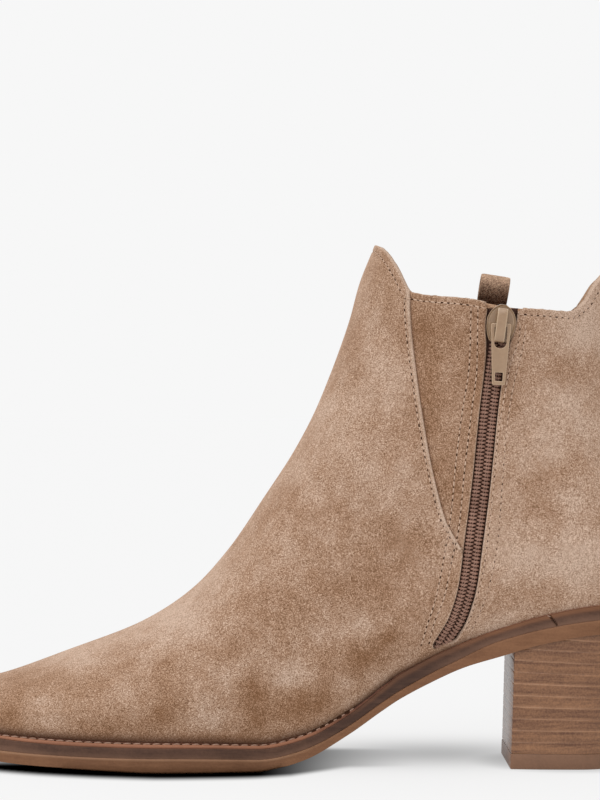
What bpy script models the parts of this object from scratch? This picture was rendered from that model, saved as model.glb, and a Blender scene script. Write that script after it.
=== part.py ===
"""Western ankle boot for the right foot: suede upper with an inside zip, welted sole and stacked heel.

The toe points to -X, the zip side faces -Y and Z is up. The origin is on the floor under the middle of the
boot. Sizes and tables are in millimetres or in percent of a driving dimension, and mesh_object turns every
mesh into metres.
"""

import math
from typing import NamedTuple

import bmesh
import bpy
import numpy as np
from mathutils import Matrix, Vector

MM = 0.001

# Driving dimensions
LENGTH = 266.0  # toe tip to the back of the sole
BALL_WIDTH = 91.0  # widest part of the sole
FRONT_HEIGHT = 180.0  # floor to the front peak of the collar
SEAT_HEIGHT = 48.0  # floor to the outsole at the back of the heel
WALL = 2.2  # suede with its lining
GAP = 0.3  # air between pieces that meet
HALF_GAP = GAP / 2

# Sides of the boot, as the sign of Y
INSIDE = -1.0
OUTSIDE = 1.0


class Edge(NamedTuple):
    """Plan of the outsole at one station: x in percent of LENGTH, both edges in percent of BALL_WIDTH."""

    x: float
    inside: float
    outside: float


OUTLINE = (
    Edge(-50.0, -4.4, -4.4),
    Edge(-48.1, -14.3, 5.5),
    Edge(-45.1, -21.4, 12.6),
    Edge(-39.5, -30.8, 23.1),
    Edge(-32.0, -40.7, 34.1),
    Edge(-22.6, -47.8, 43.4),
    Edge(-14.3, -50.0, 48.4),
    Edge(-5.6, -47.3, 50.0),
    Edge(3.8, -39.6, 47.8),
    Edge(13.2, -30.8, 42.3),
    Edge(22.6, -28.6, 37.4),
    Edge(32.0, -31.3, 34.6),
    Edge(39.5, -33.0, 33.5),
    Edge(45.1, -27.5, 27.5),
    Edge(48.9, -14.3, 14.3),
    Edge(50.0, 0.0, 0.0),
)


class Layers(NamedTuple):
    """Sole at one station: x in percent of LENGTH, tread in percent of SEAT_HEIGHT, layers in millimetres."""

    x: float
    tread: float
    outsole: float
    midsole: float
    welt: float


SOLE = (
    Layers(-50.0, 17.7, 3.6, 4.0, 1.5),
    Layers(-35.0, 7.1, 4.0, 3.9, 1.7),
    Layers(-27.0, 3.6, 4.6, 3.5, 2.1),
    Layers(-15.0, 0.0, 5.7, 3.5, 2.0),
    Layers(-2.5, 0.0, 5.0, 3.5, 1.8),
    Layers(3.0, 8.5, 3.3, 3.5, 1.9),
    Layers(9.4, 27.5, 2.4, 3.7, 1.5),
    Layers(13.5, 43.0, 2.4, 4.5, 0.8),
    Layers(15.8, 51.3, 2.4, 5.4, 0.0),
    Layers(22.2, 68.5, 3.1, 5.0, 0.0),
    Layers(28.6, 80.2, 5.4, 3.9, 0.0),
    Layers(33.5, 88.5, 5.1, 4.3, 0.0),
    Layers(39.8, 95.2, 4.9, 4.8, 0.0),
    Layers(50.0, 100.0, 5.0, 5.0, 0.0),
)


class Section(NamedTuple):
    """One slice of the last, from the front ridge to the sole edge or the back seam.

    The x columns are in percent of LENGTH, ridge_z and rise (height above the sole edge) in percent of
    FRONT_HEIGHT, ridge_y and both half widths in percent of BALL_WIDTH. The slice is widest at the share
    `widest` of its way down, and a higher `blunt` gives a rounder ridge.
    """

    name: str
    ridge_x: float
    ridge_z: float
    base_x: float
    rise: float
    ridge_y: float
    inside: float
    outside: float
    widest: float
    blunt: float


LAST = (
    Section("toe tip", -48.87, 11.1, -48.87, 0.0, -4.4, 0.0, 0.0, 0.62, 2.0),
    Section("toe round", -47.9, 13.0, -47.9, 0.0, -4.4, 6.0, 6.0, 0.62, 2.0),
    Section("toe point", -45.3, 14.4, -45.1, 0.0, -4.3, 13.7, 13.7, 0.64, 2.0),
    Section("toe box", -41.0, 15.8, -40.6, 0.0, -4.0, 22.5, 22.5, 0.66, 1.9),
    Section("toe end", -36.2, 17.1, -36.2, 0.0, -3.5, 30.0, 30.0, 0.68, 1.8),
    Section("vamp", -26.8, 21.9, -27.1, 0.0, -2.9, 40.2, 40.4, 0.72, 1.8),
    Section("vamp top", -17.4, 27.3, -18.0, 0.0, -2.0, 45.7, 46.6, 0.74, 1.8),
    Section("ball", -11.1, 33.4, -10.5, 0.0, -1.6, 45.7, 49.0, 0.75, 1.8),
    Section("throat", -6.4, 40.9, -3.0, 0.0, -1.6, 42.6, 49.2, 0.76, 2.0),
    Section("waist", -1.7, 51.0, 5.3, 0.0, -1.3, 37.6, 46.4, 0.76, 2.4),
    Section("arch", 2.3, 60.1, 16.9, 0.0, -0.9, 34.5, 40.4, 0.74, 3.2),
    Section("heel front", 4.9, 67.4, 30.1, 0.0, -0.4, 34.0, 36.5, 0.72, 4.0),
    Section("heel seat", 6.8, 74.1, 49.55, 0.0, 0.0, 34.6, 35.1, 0.72, 4.6),
    Section("counter", 8.1, 79.2, 49.4, 9.4, 0.0, 34.4, 34.6, 0.69, 4.4),
    Section("ankle", 9.5, 85.3, 47.0, 23.3, 0.0, 34.0, 34.1, 0.62, 3.6),
    Section("shaft", 10.75, 92.1, 44.7, 40.2, 0.0, 34.5, 34.5, 0.55, 2.9),
    Section("collar", 12.8, 99.8, 45.5, 63.5, 0.0, 36.5, 36.5, 0.52, 2.4),
    Section("above collar", 14.5, 107.2, 46.2, 74.4, 0.0, 37.6, 37.6, 0.52, 2.4),
)
WAIST_ROW = 8  # the slices fan out over the heel from here
SEAT_ROW = 12  # the slice that ends at the back of the sole edge
TOP_ROW = len(LAST) - 1
BASE_CURVE = 2.2  # how squarely a slice runs into its base
BASE_TUCK = 1.03  # least width of a slice over its width at the sole edge


class Rim(NamedTuple):
    """Height of the collar edge at one place along the boot."""

    x: float
    z: float


COLLAR = (
    Rim(20.0, 179.6),
    Rim(33.0, 179.5),
    Rim(35.3, 178.8),
    Rim(36.9, 177.6),
    Rim(40.8, 172.0),
    Rim(44.8, 163.3),
    Rim(47.0, 162.0),
    Rim(64.7, 159.9),
    Rim(80.9, 156.9),
    Rim(93.0, 156.0),
    Rim(100.0, 155.5),
    Rim(104.2, 158.2),
    Rim(109.8, 166.1),
    Rim(114.0, 170.0),
    Rim(121.0, 172.4),
    Rim(140.0, 172.6),
)


class Line(NamedTuple):
    """Place of a line on the side of the shaft at one height."""

    z: float
    x: float


ZIP_LINE = (
    Line(42.0, 56.5),
    Line(51.5, 61.7),
    Line(62.7, 64.8),
    Line(73.8, 66.3),
    Line(96.4, 69.2),
    Line(124.8, 72.2),
    Line(151.5, 75.9),
    Line(168.0, 78.0),
)
VAMP_SEAM = (
    Line(74.4, 63.0),
    Line(79.5, 60.0),
    Line(84.9, 57.2),
    Line(94.7, 54.4),
    Line(107.6, 51.6),
    Line(130.2, 47.9),
    Line(158.3, 44.8),
    Line(168.0, 44.2),
)

# Sole edges
LEDGE = 3.0  # sole beyond the upper, at the toe and ball
LEDGE_BACK = 1.2  # the same at the waist and heel
LEDGE_FROM = -10.0
LEDGE_TO = 45.0
OUTSOLE_BREAK = 0.9  # chamfer of the outsole edge
MIDSOLE_INSET = 0.5
WELT_INSET = 0.6
WELT_SLOPE = 1.7  # how far the welt's top edge is cut back
WELT_END = 36.0
WELT_LIP = 0.35  # upright foot of the welt edge, as a share of its thickness
INSOLE_THICKNESS = 2.5
INSOLE_INSET = 3.4  # from the upper's outer face, clear of its wall
SOLE_STATIONS = 60

# Side panels and zip
PANEL_STEP = 0.9  # the vamp stands this much proud of the side panel
PANEL_FOOT = 74.6
PANEL_TOP = 166.0
SLOT_HALF = 3.15
SLOT_HALF_TOP = 5.5  # wider, to hold the slider
SLOT_WIDENS_FROM = 140.0
SLOT_WIDENS_TO = 146.0
SLOT_FOOT = 42.4
CHAIN_TOP = 156.6
CHAIN_OUTER = -0.5  # depths below the outer face of the upper
CHAIN_INNER = -2.0
PANEL_BEND = 96.0  # the seam is straight above this height and curved below it
ZIP_BEND = 74.0  # the same for the zip
CUT_OUT = 5.0  # how far a cutter reaches out of the wall
CUT_IN = -7.0
CUT_TOP = 240.0  # height of the cutters' tops, above everything
COLLAR_STATIONS = 49

# Zip slider and pull tab, about the slider's centre: along the zip, across it and out from the wall
SLIDER_Z = 151.5
SLIDER_FLOOR = -0.2
SLIDER_FACE = 1.6
BRIDGE_HALF = 1.4
BRIDGE_UNDER = 3.6
BRIDGE_TOP = 4.6
BRIDGE_LOW_END = -6.0
BRIDGE_HIGH_END = 5.2
BRIDGE_LEG = 1.4
BRIDGE_SUNK = 0.4  # depth of the legs in the plate
BRIDGE_SHOULDER = 1.4  # bevel of the outer corners
BRIDGE_FILLET = 0.75  # bevel of the inner corners
HINGE_UP = -0.65
HINGE_OUT = 2.65
TAB_HANG = math.radians(5.0)  # the tab hangs plumb while the zip leans
TAB_THICKNESS = 1.2
TAB_LENGTH = 20.2
TAB_HALF_TOP = 3.4
TAB_HALF_END = 2.2
TAB_BAR = 0.58  # half height of the bar that the tab swings on
TAB_CORNER = 0.7
TAB_EYE_HALF = 2.1
TAB_EYE_END = 7.85
TAB_HOLE_HALF = 1.3
TAB_HOLE_FROM = 16.0
TAB_HOLE_TO = 18.9


class SliderEdge(NamedTuple):
    """Half width of the zip slider at one place along the zip."""

    along: float
    half: float


SLIDER_EDGE = (
    SliderEdge(-6.3, 3.3),
    SliderEdge(-4.2, 4.2),
    SliderEdge(-1.2, 4.8),
    SliderEdge(0.8, 4.9),
    SliderEdge(3.0, 4.3),
    SliderEdge(4.9, 3.0),
    SliderEdge(6.3, 1.0),
)

# Pull loop on the inside of the outer wall
LOOP_X = 75.8
LOOP_Z = 157.6
LOOP_WIDTH = 10.4
LOOP_TILT = math.radians(9.0)
LOOP_STRAP = 1.3
LOOP_CLEAR = 0.45  # from the wall's inner face
LOOP_TAIL = 13.0
LOOP_START = 1.4  # the two plies part this far above the collar
LOOP_RISE = 10.8
LOOP_BULGE = 5.6
LOOP_PINCH = 0.55  # bulge at the loop's foot over that at its top
LOOP_STEPS = 16

# Stacked heel
HEEL_BREAST_TOP = 81.0
HEEL_BREAST_FOOT = 79.5
HEEL_BACK_TOP = 131.0
HEEL_BACK_FOOT = 126.0
HEEL_FOOT_SCALE = 0.9  # widths at the floor over those at the seat
LIFT_HEIGHT = 5.3
LIFT_PROUD = 0.3
STACK_PITCH = 3.95
STACK_TILT = math.radians(4.0)
STACK_LAYERS = 10
STACK_DATUM = 89.0  # where the pitch is measured
GROOVE_DEPTH = 0.35
GROOVE_HALF = 0.35
HEEL_SIDE_POINTS = 13
SEAT_STATIONS = 14


class HeelEdge(NamedTuple):
    """Half width of the heel: way is 0 at its back and 1 at its breast, and squared it is a length."""

    way: float
    half: float


HEEL_PLAN = (
    HeelEdge(0.0, 0.0),
    HeelEdge(0.25, 13.2),
    HeelEdge(0.5, 24.0),
    HeelEdge(0.7, 29.1),
    HeelEdge(0.85, 28.8),
    HeelEdge(1.0, 27.3),
)

# Colours, roughness and metallic value of each material
SUEDE = ("suede", (0.36, 0.21, 0.14), 0.95, 0.0)
WELT_RUST = ("welt_rust", (0.27, 0.13, 0.08), 0.7, 0.0)
EDGE_DARK = ("edge_dark", (0.08, 0.045, 0.03), 0.55, 0.0)
SOLE_TAN = ("sole_tan", (0.19, 0.1, 0.06), 0.6, 0.0)
HEEL_STACK = ("heel_stack", (0.22, 0.12, 0.07), 0.55, 0.0)
LIFT_TAN = ("lift_tan", (0.2, 0.11, 0.065), 0.65, 0.0)
INSOLE_BEIGE = ("insole_beige", (0.5, 0.38, 0.27), 0.8, 0.0)
ZIP_BROWN = ("zip_brown", (0.13, 0.075, 0.05), 0.6, 0.0)
ZIP_METAL = ("zip_metal", (0.38, 0.27, 0.17), 0.45, 0.3)
STRAP_BROWN = ("strap_brown", (0.26, 0.14, 0.08), 0.9, 0.0)


def smooth(stations, values):
    """Returns a function that runs smoothly through a table's column and never overshoots a row."""
    xs = np.asarray(stations, float)
    ys = np.asarray(values, float)
    steps = np.diff(xs)
    slopes = np.diff(ys) / steps
    tangents = np.zeros(len(ys))
    tangents[0] = slopes[0]
    tangents[-1] = slopes[-1]
    for i in range(1, len(ys) - 1):
        before, after = slopes[i - 1], slopes[i]
        if before * after > 0.0:
            heavy = 2.0 * steps[i] + steps[i - 1]
            light = steps[i] + 2.0 * steps[i - 1]
            tangents[i] = (heavy + light) / (heavy / before + light / after)

    def value(x):
        x = np.clip(x, xs[0], xs[-1])
        i = np.clip(np.searchsorted(xs, x, side="right") - 1, 0, len(steps) - 1)
        s = (x - xs[i]) / steps[i]
        rest = 1.0 - s
        return (
            ys[i] * (1.0 + 2.0 * s) * rest**2
            + tangents[i] * steps[i] * s * rest**2
            + ys[i + 1] * s**2 * (3.0 - 2.0 * s)
            - tangents[i + 1] * steps[i] * s**2 * rest
        )

    return value


def column(rows, name, unit=1.0):
    """Returns one column of a table, turned into millimetres by its unit."""
    return [getattr(row, name) * unit for row in rows]


def percent(size):
    """Returns what one percent of a driving dimension measures."""
    return size / 100.0


# Plan of the sole and heights of its layers
HALF_LENGTH = LENGTH / 2
OUTLINE_ANGLES = [math.acos(max(-1.0, min(1.0, -row.x / 50.0))) for row in OUTLINE]
SOLE_SIDE = {
    INSIDE: smooth(OUTLINE_ANGLES, column(OUTLINE, "inside", percent(BALL_WIDTH))),
    OUTSIDE: smooth(OUTLINE_ANGLES, column(OUTLINE, "outside", percent(BALL_WIDTH))),
}
SOLE_X = column(SOLE, "x", percent(LENGTH))
tread = smooth(SOLE_X, column(SOLE, "tread", percent(SEAT_HEIGHT)))
outsole_thickness = smooth(SOLE_X, column(SOLE, "outsole"))
midsole_thickness = smooth(SOLE_X, column(SOLE, "midsole"))
welt_thickness = smooth(SOLE_X, column(SOLE, "welt"))
ledge = smooth((-HALF_LENGTH, LEDGE_FROM, LEDGE_TO, HALF_LENGTH), (LEDGE, LEDGE, LEDGE_BACK, LEDGE_BACK))


def outsole_top(x):
    """Height of the line between outsole and midsole."""
    return tread(x) + outsole_thickness(x)


def midsole_top(x):
    """Height of the line between midsole and welt."""
    return outsole_top(x) + midsole_thickness(x)


def sole_top(x):
    """Height of the line where the upper meets the sole."""
    return midsole_top(x) + welt_thickness(x)


def sole_edge(side, angles, inset):
    """Returns the plan of one edge of the sole, moved in by a distance or by a function of x."""
    nudge = 1e-4
    x = -HALF_LENGTH * np.cos(angles)
    y = SOLE_SIDE[side](angles)
    ahead = np.minimum(angles + nudge, math.pi)
    behind = np.maximum(angles - nudge, 0.0)
    run = -HALF_LENGTH * (np.cos(ahead) - np.cos(behind))
    turn = SOLE_SIDE[side](ahead) - SOLE_SIDE[side](behind)
    length = np.hypot(run, turn)
    distance = inset(x) if callable(inset) else inset
    return x + side * turn / length * distance, y - side * run / length * distance


FEATHER_ANGLES = np.linspace(0.0, math.pi, 721)
FEATHER = {side: sole_edge(side, FEATHER_ANGLES, ledge) for side in (INSIDE, OUTSIDE)}


def feather(side, x):
    """Returns the y of the upper's foot, where it meets the sole, on one side."""
    xs, ys = FEATHER[side]
    return np.interp(x, xs, ys)


# The last: every column of its table as a function of the row number
ROW_NUMBERS = range(len(LAST))
ridge_x = smooth(ROW_NUMBERS, column(LAST, "ridge_x", percent(LENGTH)))
ridge_y = smooth(ROW_NUMBERS, column(LAST, "ridge_y", percent(BALL_WIDTH)))
ridge_z = smooth(ROW_NUMBERS, column(LAST, "ridge_z", percent(FRONT_HEIGHT)))
base_x = smooth(ROW_NUMBERS, column(LAST, "base_x", percent(LENGTH)))
rise = smooth(ROW_NUMBERS, column(LAST, "rise", percent(FRONT_HEIGHT)))
widest = smooth(ROW_NUMBERS, column(LAST, "widest"))
blunt = smooth(ROW_NUMBERS, column(LAST, "blunt"))
half_width = {
    INSIDE: smooth(ROW_NUMBERS, column(LAST, "inside", percent(BALL_WIDTH))),
    OUTSIDE: smooth(ROW_NUMBERS, column(LAST, "outside", percent(BALL_WIDTH))),
}


def base_z(row):
    """Height of a slice's lower or back end."""
    return sole_top(base_x(row)) + HALF_GAP + rise(row)


def slice_width(row, way, side):
    """Returns how far the last stands out from its ridge plane, at a way down the slice from 0 to 1."""
    base = abs(float(feather(side, base_x(row)) - ridge_y(row))) if row < SEAT_ROW else 0.0
    half = max(float(half_width[side](row)), BASE_TUCK * base)
    if half == 0.0:
        return 0.0
    turn = float(widest(row))
    if way < turn:
        return half * math.sqrt(1.0 - (1.0 - way / turn) ** float(blunt(row)))
    rest = (way - turn) / (1.0 - turn)
    return half * math.sqrt(max(0.0, 1.0 - (1.0 - (base / half) ** 2) * rest**BASE_CURVE))


def last_point(row, step, side):
    """Returns the point of the last at a row, with step from 0 at the ridge to 1 at the base."""
    turn = float(widest(row))
    if step < 0.5:
        way = turn * (1.0 - math.cos(math.pi * step))
    else:
        way = turn + (1.0 - turn) * math.sin(math.pi * (step - 0.5))
    x = ridge_x(row) + way * (base_x(row) - ridge_x(row))
    z = ridge_z(row) + way * (base_z(row) - ridge_z(row))
    return float(x), float(ridge_y(row) + side * slice_width(row, way, side)), float(z)


SEARCH_ROWS = np.linspace(5.0, TOP_ROW, 601)
SEARCH_RIDGE = np.stack([ridge_x(SEARCH_ROWS), ridge_z(SEARCH_ROWS)])
SEARCH_BASE = np.stack([base_x(SEARCH_ROWS), base_z(SEARCH_ROWS)])


def wall_y(x, z, side):
    """Returns the y of the outer face of the upper over a place in the side view."""
    run = SEARCH_BASE - SEARCH_RIDGE
    reach = np.array([[x], [z]]) - SEARCH_RIDGE
    cross = run[0] * reach[1] - run[1] * reach[0]
    i = int(np.nonzero(np.diff(np.sign(cross)))[0][-1])
    share = cross[i] / (cross[i] - cross[i + 1])
    row = SEARCH_ROWS[i] + share * (SEARCH_ROWS[i + 1] - SEARCH_ROWS[i])
    start = np.array([ridge_x(row), ridge_z(row)])
    line = np.array([base_x(row), base_z(row)]) - start
    way = float(np.clip(np.dot(np.array([x, z]) - start, line) / np.dot(line, line), 0.0, 1.0))
    return float(ridge_y(row)) + side * slice_width(row, way, side)


zip_x = smooth(column(ZIP_LINE, "z"), column(ZIP_LINE, "x"))
seam_x = smooth(column(VAMP_SEAM, "z"), column(VAMP_SEAM, "x"))
collar_z = smooth(column(COLLAR, "x"), column(COLLAR, "z"))
slot_half = smooth(
    (0.0, SLOT_WIDENS_FROM, SLOT_WIDENS_TO, FRONT_HEIGHT),
    (SLOT_HALF, SLOT_HALF, SLOT_HALF_TOP, SLOT_HALF_TOP),
)


def slot_edge(z, direction, inset=0.0):
    """Returns the x of the front or back edge of the zip slot, square to the zip's line."""
    lean = float(zip_x(z + 0.5) - zip_x(z - 0.5))
    return float(zip_x(z)) + direction * (float(slot_half(z)) - inset) * math.hypot(1.0, lean)


def finish(look):
    """Makes a plain material from its name, colour, roughness and metallic value."""
    name, colour, roughness, metallic = look
    material = bpy.data.materials.new(name)
    material.use_nodes = True
    material.diffuse_color = (*colour, 1.0)
    shader = material.node_tree.nodes["Principled BSDF"]
    shader.inputs["Base Color"].default_value = (*colour, 1.0)
    shader.inputs["Roughness"].default_value = roughness
    shader.inputs["Metallic"].default_value = metallic
    return material


def mesh_object(name, points, faces, root, look=None, place=None):
    """Makes an object from points in millimetres, merging points that coincide.

    A place is the object's own frame in millimetres, in which its points are then given. An object with no
    look is a cutter.
    """
    mesh = bpy.data.meshes.new(name)
    mesh.from_pydata([[value * MM for value in point] for point in points], [], faces)
    work = bmesh.new()
    work.from_mesh(mesh)
    bmesh.ops.remove_doubles(work, verts=work.verts, dist=0.002 * MM)
    bmesh.ops.dissolve_degenerate(work, edges=work.edges, dist=0.002 * MM)
    work.to_mesh(mesh)
    work.free()
    mesh.shade_smooth()
    mesh.set_sharp_from_angle(angle=math.radians(35.0))
    thing = bpy.data.objects.new(name, mesh)
    bpy.context.scene.collection.objects.link(thing)
    thing.parent = root
    if place is not None:
        frame = place.copy()
        frame.translation *= MM
        thing.matrix_local = frame
    if look is None:
        thing.hide_render = True
        thing.display_type = "WIRE"
    else:
        mesh.materials.append(finish(look))
    return thing


def combine(thing, tool, operation):
    """Adds a Boolean of a cutter to an object."""
    modifier = thing.modifiers.new(tool.name, "BOOLEAN")
    modifier.operation = operation
    modifier.object = tool
    modifier.solver = "EXACT"


def loops_to_solid(loops, pairs):
    """Joins equal loops into a tube and closes both ends with strips across it.

    The first half of each loop runs one way along one side and the second half back along the other, so
    that `pairs` lists which points lie across from each other, in order.
    """
    count = len(loops[0])
    points = [point for loop in loops for point in loop]
    faces = []
    for k in range(len(loops) - 1):
        for i in range(count):
            j = (i + 1) % count
            faces.append((k * count + i, k * count + j, (k + 1) * count + j, (k + 1) * count + i))
    top = (len(loops) - 1) * count
    for (a, b), (c, d) in zip(pairs, pairs[1:]):
        faces.append((a, b, d, c))
        faces.append((top + a, top + c, top + d, top + b))
    return points, faces


def sole_plate(name, levels, look, root, last_x=HALF_LENGTH):
    """Makes a plate that follows the sole, from levels of (inset, height function), bottom to top."""
    last_angle = math.acos(-last_x / HALF_LENGTH)
    angles = np.linspace(0.0, last_angle, SOLE_STATIONS)
    loops = []
    for inset, height in levels:
        inner_x, inner_y = sole_edge(INSIDE, angles, inset)
        outer_x, outer_y = sole_edge(OUTSIDE, angles, inset)
        xs = np.concatenate([inner_x, outer_x[::-1]])
        ys = np.concatenate([inner_y, outer_y[::-1]])
        loops.append(list(zip(xs, ys, height(xs))))
    total = len(loops[0])
    pairs = [(i, total - 1 - i) for i in range(SOLE_STATIONS)]
    points, faces = loops_to_solid(loops, pairs)
    return mesh_object(name, points, faces, root, look)


def wall_patch(name, heights, front, back, outer, inner, side, root, look=None, columns=5):
    """Makes a piece of the upper's wall between two lines of the side view and two depths."""
    points = []
    for depth in (inner, outer):
        for z in heights:
            for share in np.linspace(0.0, 1.0, columns):
                x = front(z) + share * (back(z) - front(z))
                points.append((x, wall_y(x, z, side) + side * depth, z))
    rows = len(heights)
    skin = rows * columns
    faces = []
    for r in range(rows - 1):
        for c in range(columns - 1):
            a = r * columns + c
            quad = (a, a + 1, a + columns + 1, a + columns)
            faces.append(quad if side == OUTSIDE else quad[::-1])
            far = tuple(skin + i for i in quad)
            faces.append(far[::-1] if side == OUTSIDE else far)
    bottom = list(range(columns))
    right = [r * columns + columns - 1 for r in range(rows)]
    top = [(rows - 1) * columns + c for c in range(columns)][::-1]
    left = [r * columns for r in range(rows)][::-1]
    border = bottom[:-1] + right[:-1] + top[:-1] + left[:-1]
    for a, b in zip(border, border[1:] + border[:1]):
        quad = (a, b, skin + b, skin + a)
        faces.append(quad[::-1] if side == OUTSIDE else quad)
    return mesh_object(name, points, faces, root, look)


def prism(outline, low, high, order=(0, 1, 2)):
    """Returns a prism's points and faces: an outline in two axes, and low and high along the third.

    The order says which axis each of the two outline values and the height go to. The outline runs so
    that it is anticlockwise when seen from the high end.
    """
    points = []
    for height in (low, high):
        for across, along in outline:
            point = [0.0, 0.0, 0.0]
            point[order[0]] = across
            point[order[1]] = along
            point[order[2]] = height
            points.append(tuple(point))
    count = len(outline)
    faces = [tuple(reversed(range(count))), tuple(range(count, 2 * count))]
    for i in range(count):
        j = (i + 1) % count
        faces.append((i, j, count + j, count + i))
    return points, faces


def side_profile_cutter(name, xs, height, root):
    """Makes a cutter that takes away all above a line of the side view."""
    outline = [(xs[0], CUT_TOP)]
    outline += [(x, float(height(x))) for x in xs]
    outline += [(xs[-1], CUT_TOP)]
    points, faces = prism(outline, BALL_WIDTH, -BALL_WIDTH, order=(0, 2, 1))
    return mesh_object(name, points, faces, root)


def bent_heights(low, bend, high):
    """Returns the heights of a wall patch, close together below its bend and wider apart above it."""
    below = np.linspace(low, bend, 8)
    above = np.linspace(bend, high, 13)
    return np.concatenate([below, above[1:]])


def zip_heights(low, high):
    """Returns the heights of a wall patch along the zip, closest together where the slot widens."""
    straight = bent_heights(low, ZIP_BEND, SLOT_WIDENS_FROM)
    widening = np.linspace(SLOT_WIDENS_FROM, SLOT_WIDENS_TO, 6)
    wide = np.linspace(SLOT_WIDENS_TO, high, 4)
    return np.concatenate([straight, widening[1:], wide[1:]])


def last_rows():
    """Returns the row numbers of the upper's sections, closer together at the toe and over the heel seat."""
    toe = np.linspace(0.0, 1.0, 5) ** 2
    foot = np.linspace(1.0, WAIST_ROW, 12)
    waist = np.linspace(WAIST_ROW, SEAT_ROW - 1, 11)
    seat = SEAT_ROW - np.linspace(1.0, 0.0, 9) ** 1.3
    shaft = np.linspace(SEAT_ROW, TOP_ROW, 13)
    return np.unique(np.round(np.concatenate([toe, foot, waist, seat, shaft]), 6))


def upper(root):
    """Makes the hollow upper: the last's skin given a wall, cut at the collar, side panels and zip."""
    steps = np.linspace(0.0, 1.0, 15)
    rows = last_rows()
    points = []
    for row in rows:
        points += [last_point(row, step, INSIDE) for step in steps[::-1]]
        points += [last_point(row, step, OUTSIDE) for step in steps[1:]]
    width = 2 * len(steps) - 1
    faces = []
    for i in range(len(rows) - 1):
        for j in range(width - 1):
            a = i * width + j
            faces.append((a, a + width, a + width + 1, a + 1))
    shell = mesh_object("upper", points, faces, root, SUEDE)
    wall = shell.modifiers.new("wall", "SOLIDIFY")
    wall.thickness = WALL * MM
    wall.offset = -1.0
    wall.use_even_offset = True
    wall.use_quality_normals = True

    rim_x = np.linspace(COLLAR[0].x, COLLAR[-1].x, COLLAR_STATIONS)
    rim = side_profile_cutter("collar_cut", rim_x, collar_z, root)
    combine(shell, rim, "DIFFERENCE")
    heights = bent_heights(PANEL_FOOT, PANEL_BEND, PANEL_TOP)
    for name, side in (("panel_cut_inside", INSIDE), ("panel_cut_outside", OUTSIDE)):
        panel = wall_patch(name, heights, seam_x, zip_x, CUT_OUT, -PANEL_STEP, side, root)
        combine(shell, panel, "DIFFERENCE")
    slot = wall_patch(
        "slot_cut",
        zip_heights(SLOT_FOOT, PANEL_TOP),
        lambda z: slot_edge(z, -1.0),
        lambda z: slot_edge(z, 1.0),
        CUT_OUT,
        CUT_IN,
        INSIDE,
        root,
        columns=3,
    )
    combine(shell, slot, "DIFFERENCE")


def sole(root):
    """Makes outsole, midsole, welt and insole, each on the one below."""
    outsole_levels = (
        (OUTSOLE_BREAK, tread),
        (0.0, lambda x: tread(x) + OUTSOLE_BREAK),
        (0.0, lambda x: outsole_top(x) - HALF_GAP - OUTSOLE_BREAK / 2),
        (OUTSOLE_BREAK / 2, lambda x: outsole_top(x) - HALF_GAP),
    )
    sole_plate("outsole", outsole_levels, SOLE_TAN, root)

    midsole_levels = (
        (MIDSOLE_INSET, lambda x: outsole_top(x) + HALF_GAP),
        (MIDSOLE_INSET, lambda x: midsole_top(x) - HALF_GAP),
    )
    sole_plate("midsole", midsole_levels, EDGE_DARK, root)

    welt_levels = (
        (WELT_INSET, lambda x: midsole_top(x) + HALF_GAP),
        (WELT_INSET, lambda x: midsole_top(x) + HALF_GAP + WELT_LIP * (welt_thickness(x) - GAP)),
        (WELT_INSET + WELT_SLOPE, lambda x: sole_top(x) - HALF_GAP),
    )
    sole_plate("welt", welt_levels, WELT_RUST, root, WELT_END)

    def insole_edge(x):
        return ledge(x) + INSOLE_INSET

    insole_levels = (
        (insole_edge, lambda x: sole_top(x) + HALF_GAP),
        (insole_edge, lambda x: sole_top(x) + HALF_GAP + INSOLE_THICKNESS),
    )
    sole_plate("insole", insole_levels, INSOLE_BEIGE, root)


heel_half = smooth(column(HEEL_PLAN, "way"), column(HEEL_PLAN, "half"))


def heel_ring(height, tilt=0.0, inset=0.0):
    """Returns one loop round the heel block, from the breast along the inside and back along the outside."""
    share = height / SEAT_HEIGHT
    breast = HEEL_BREAST_FOOT + (HEEL_BREAST_TOP - HEEL_BREAST_FOOT) * share + inset
    back = HEEL_BACK_FOOT + (HEEL_BACK_TOP - HEEL_BACK_FOOT) * share - inset
    scale = HEEL_FOOT_SCALE + (1.0 - HEEL_FOOT_SCALE) * share
    ways = np.linspace(1.0, 0.0, HEEL_SIDE_POINTS)
    xs = breast + (back - breast) * (1.0 - ways**2)
    ys = np.maximum(heel_half(ways) * scale - inset, 0.0)
    loop = []
    for x, y in zip(xs, ys):
        loop.append((x, -y, height - math.tan(tilt) * (x - STACK_DATUM)))
    for x, y in zip(xs[::-1], ys[::-1]):
        loop.append((x, y, height - math.tan(tilt) * (x - STACK_DATUM)))
    return loop


def heel_pairs():
    """Returns the points of a heel loop that lie across from each other."""
    total = 2 * HEEL_SIDE_POINTS
    return [(i, total - 1 - i) for i in range(HEEL_SIDE_POINTS)]


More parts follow.
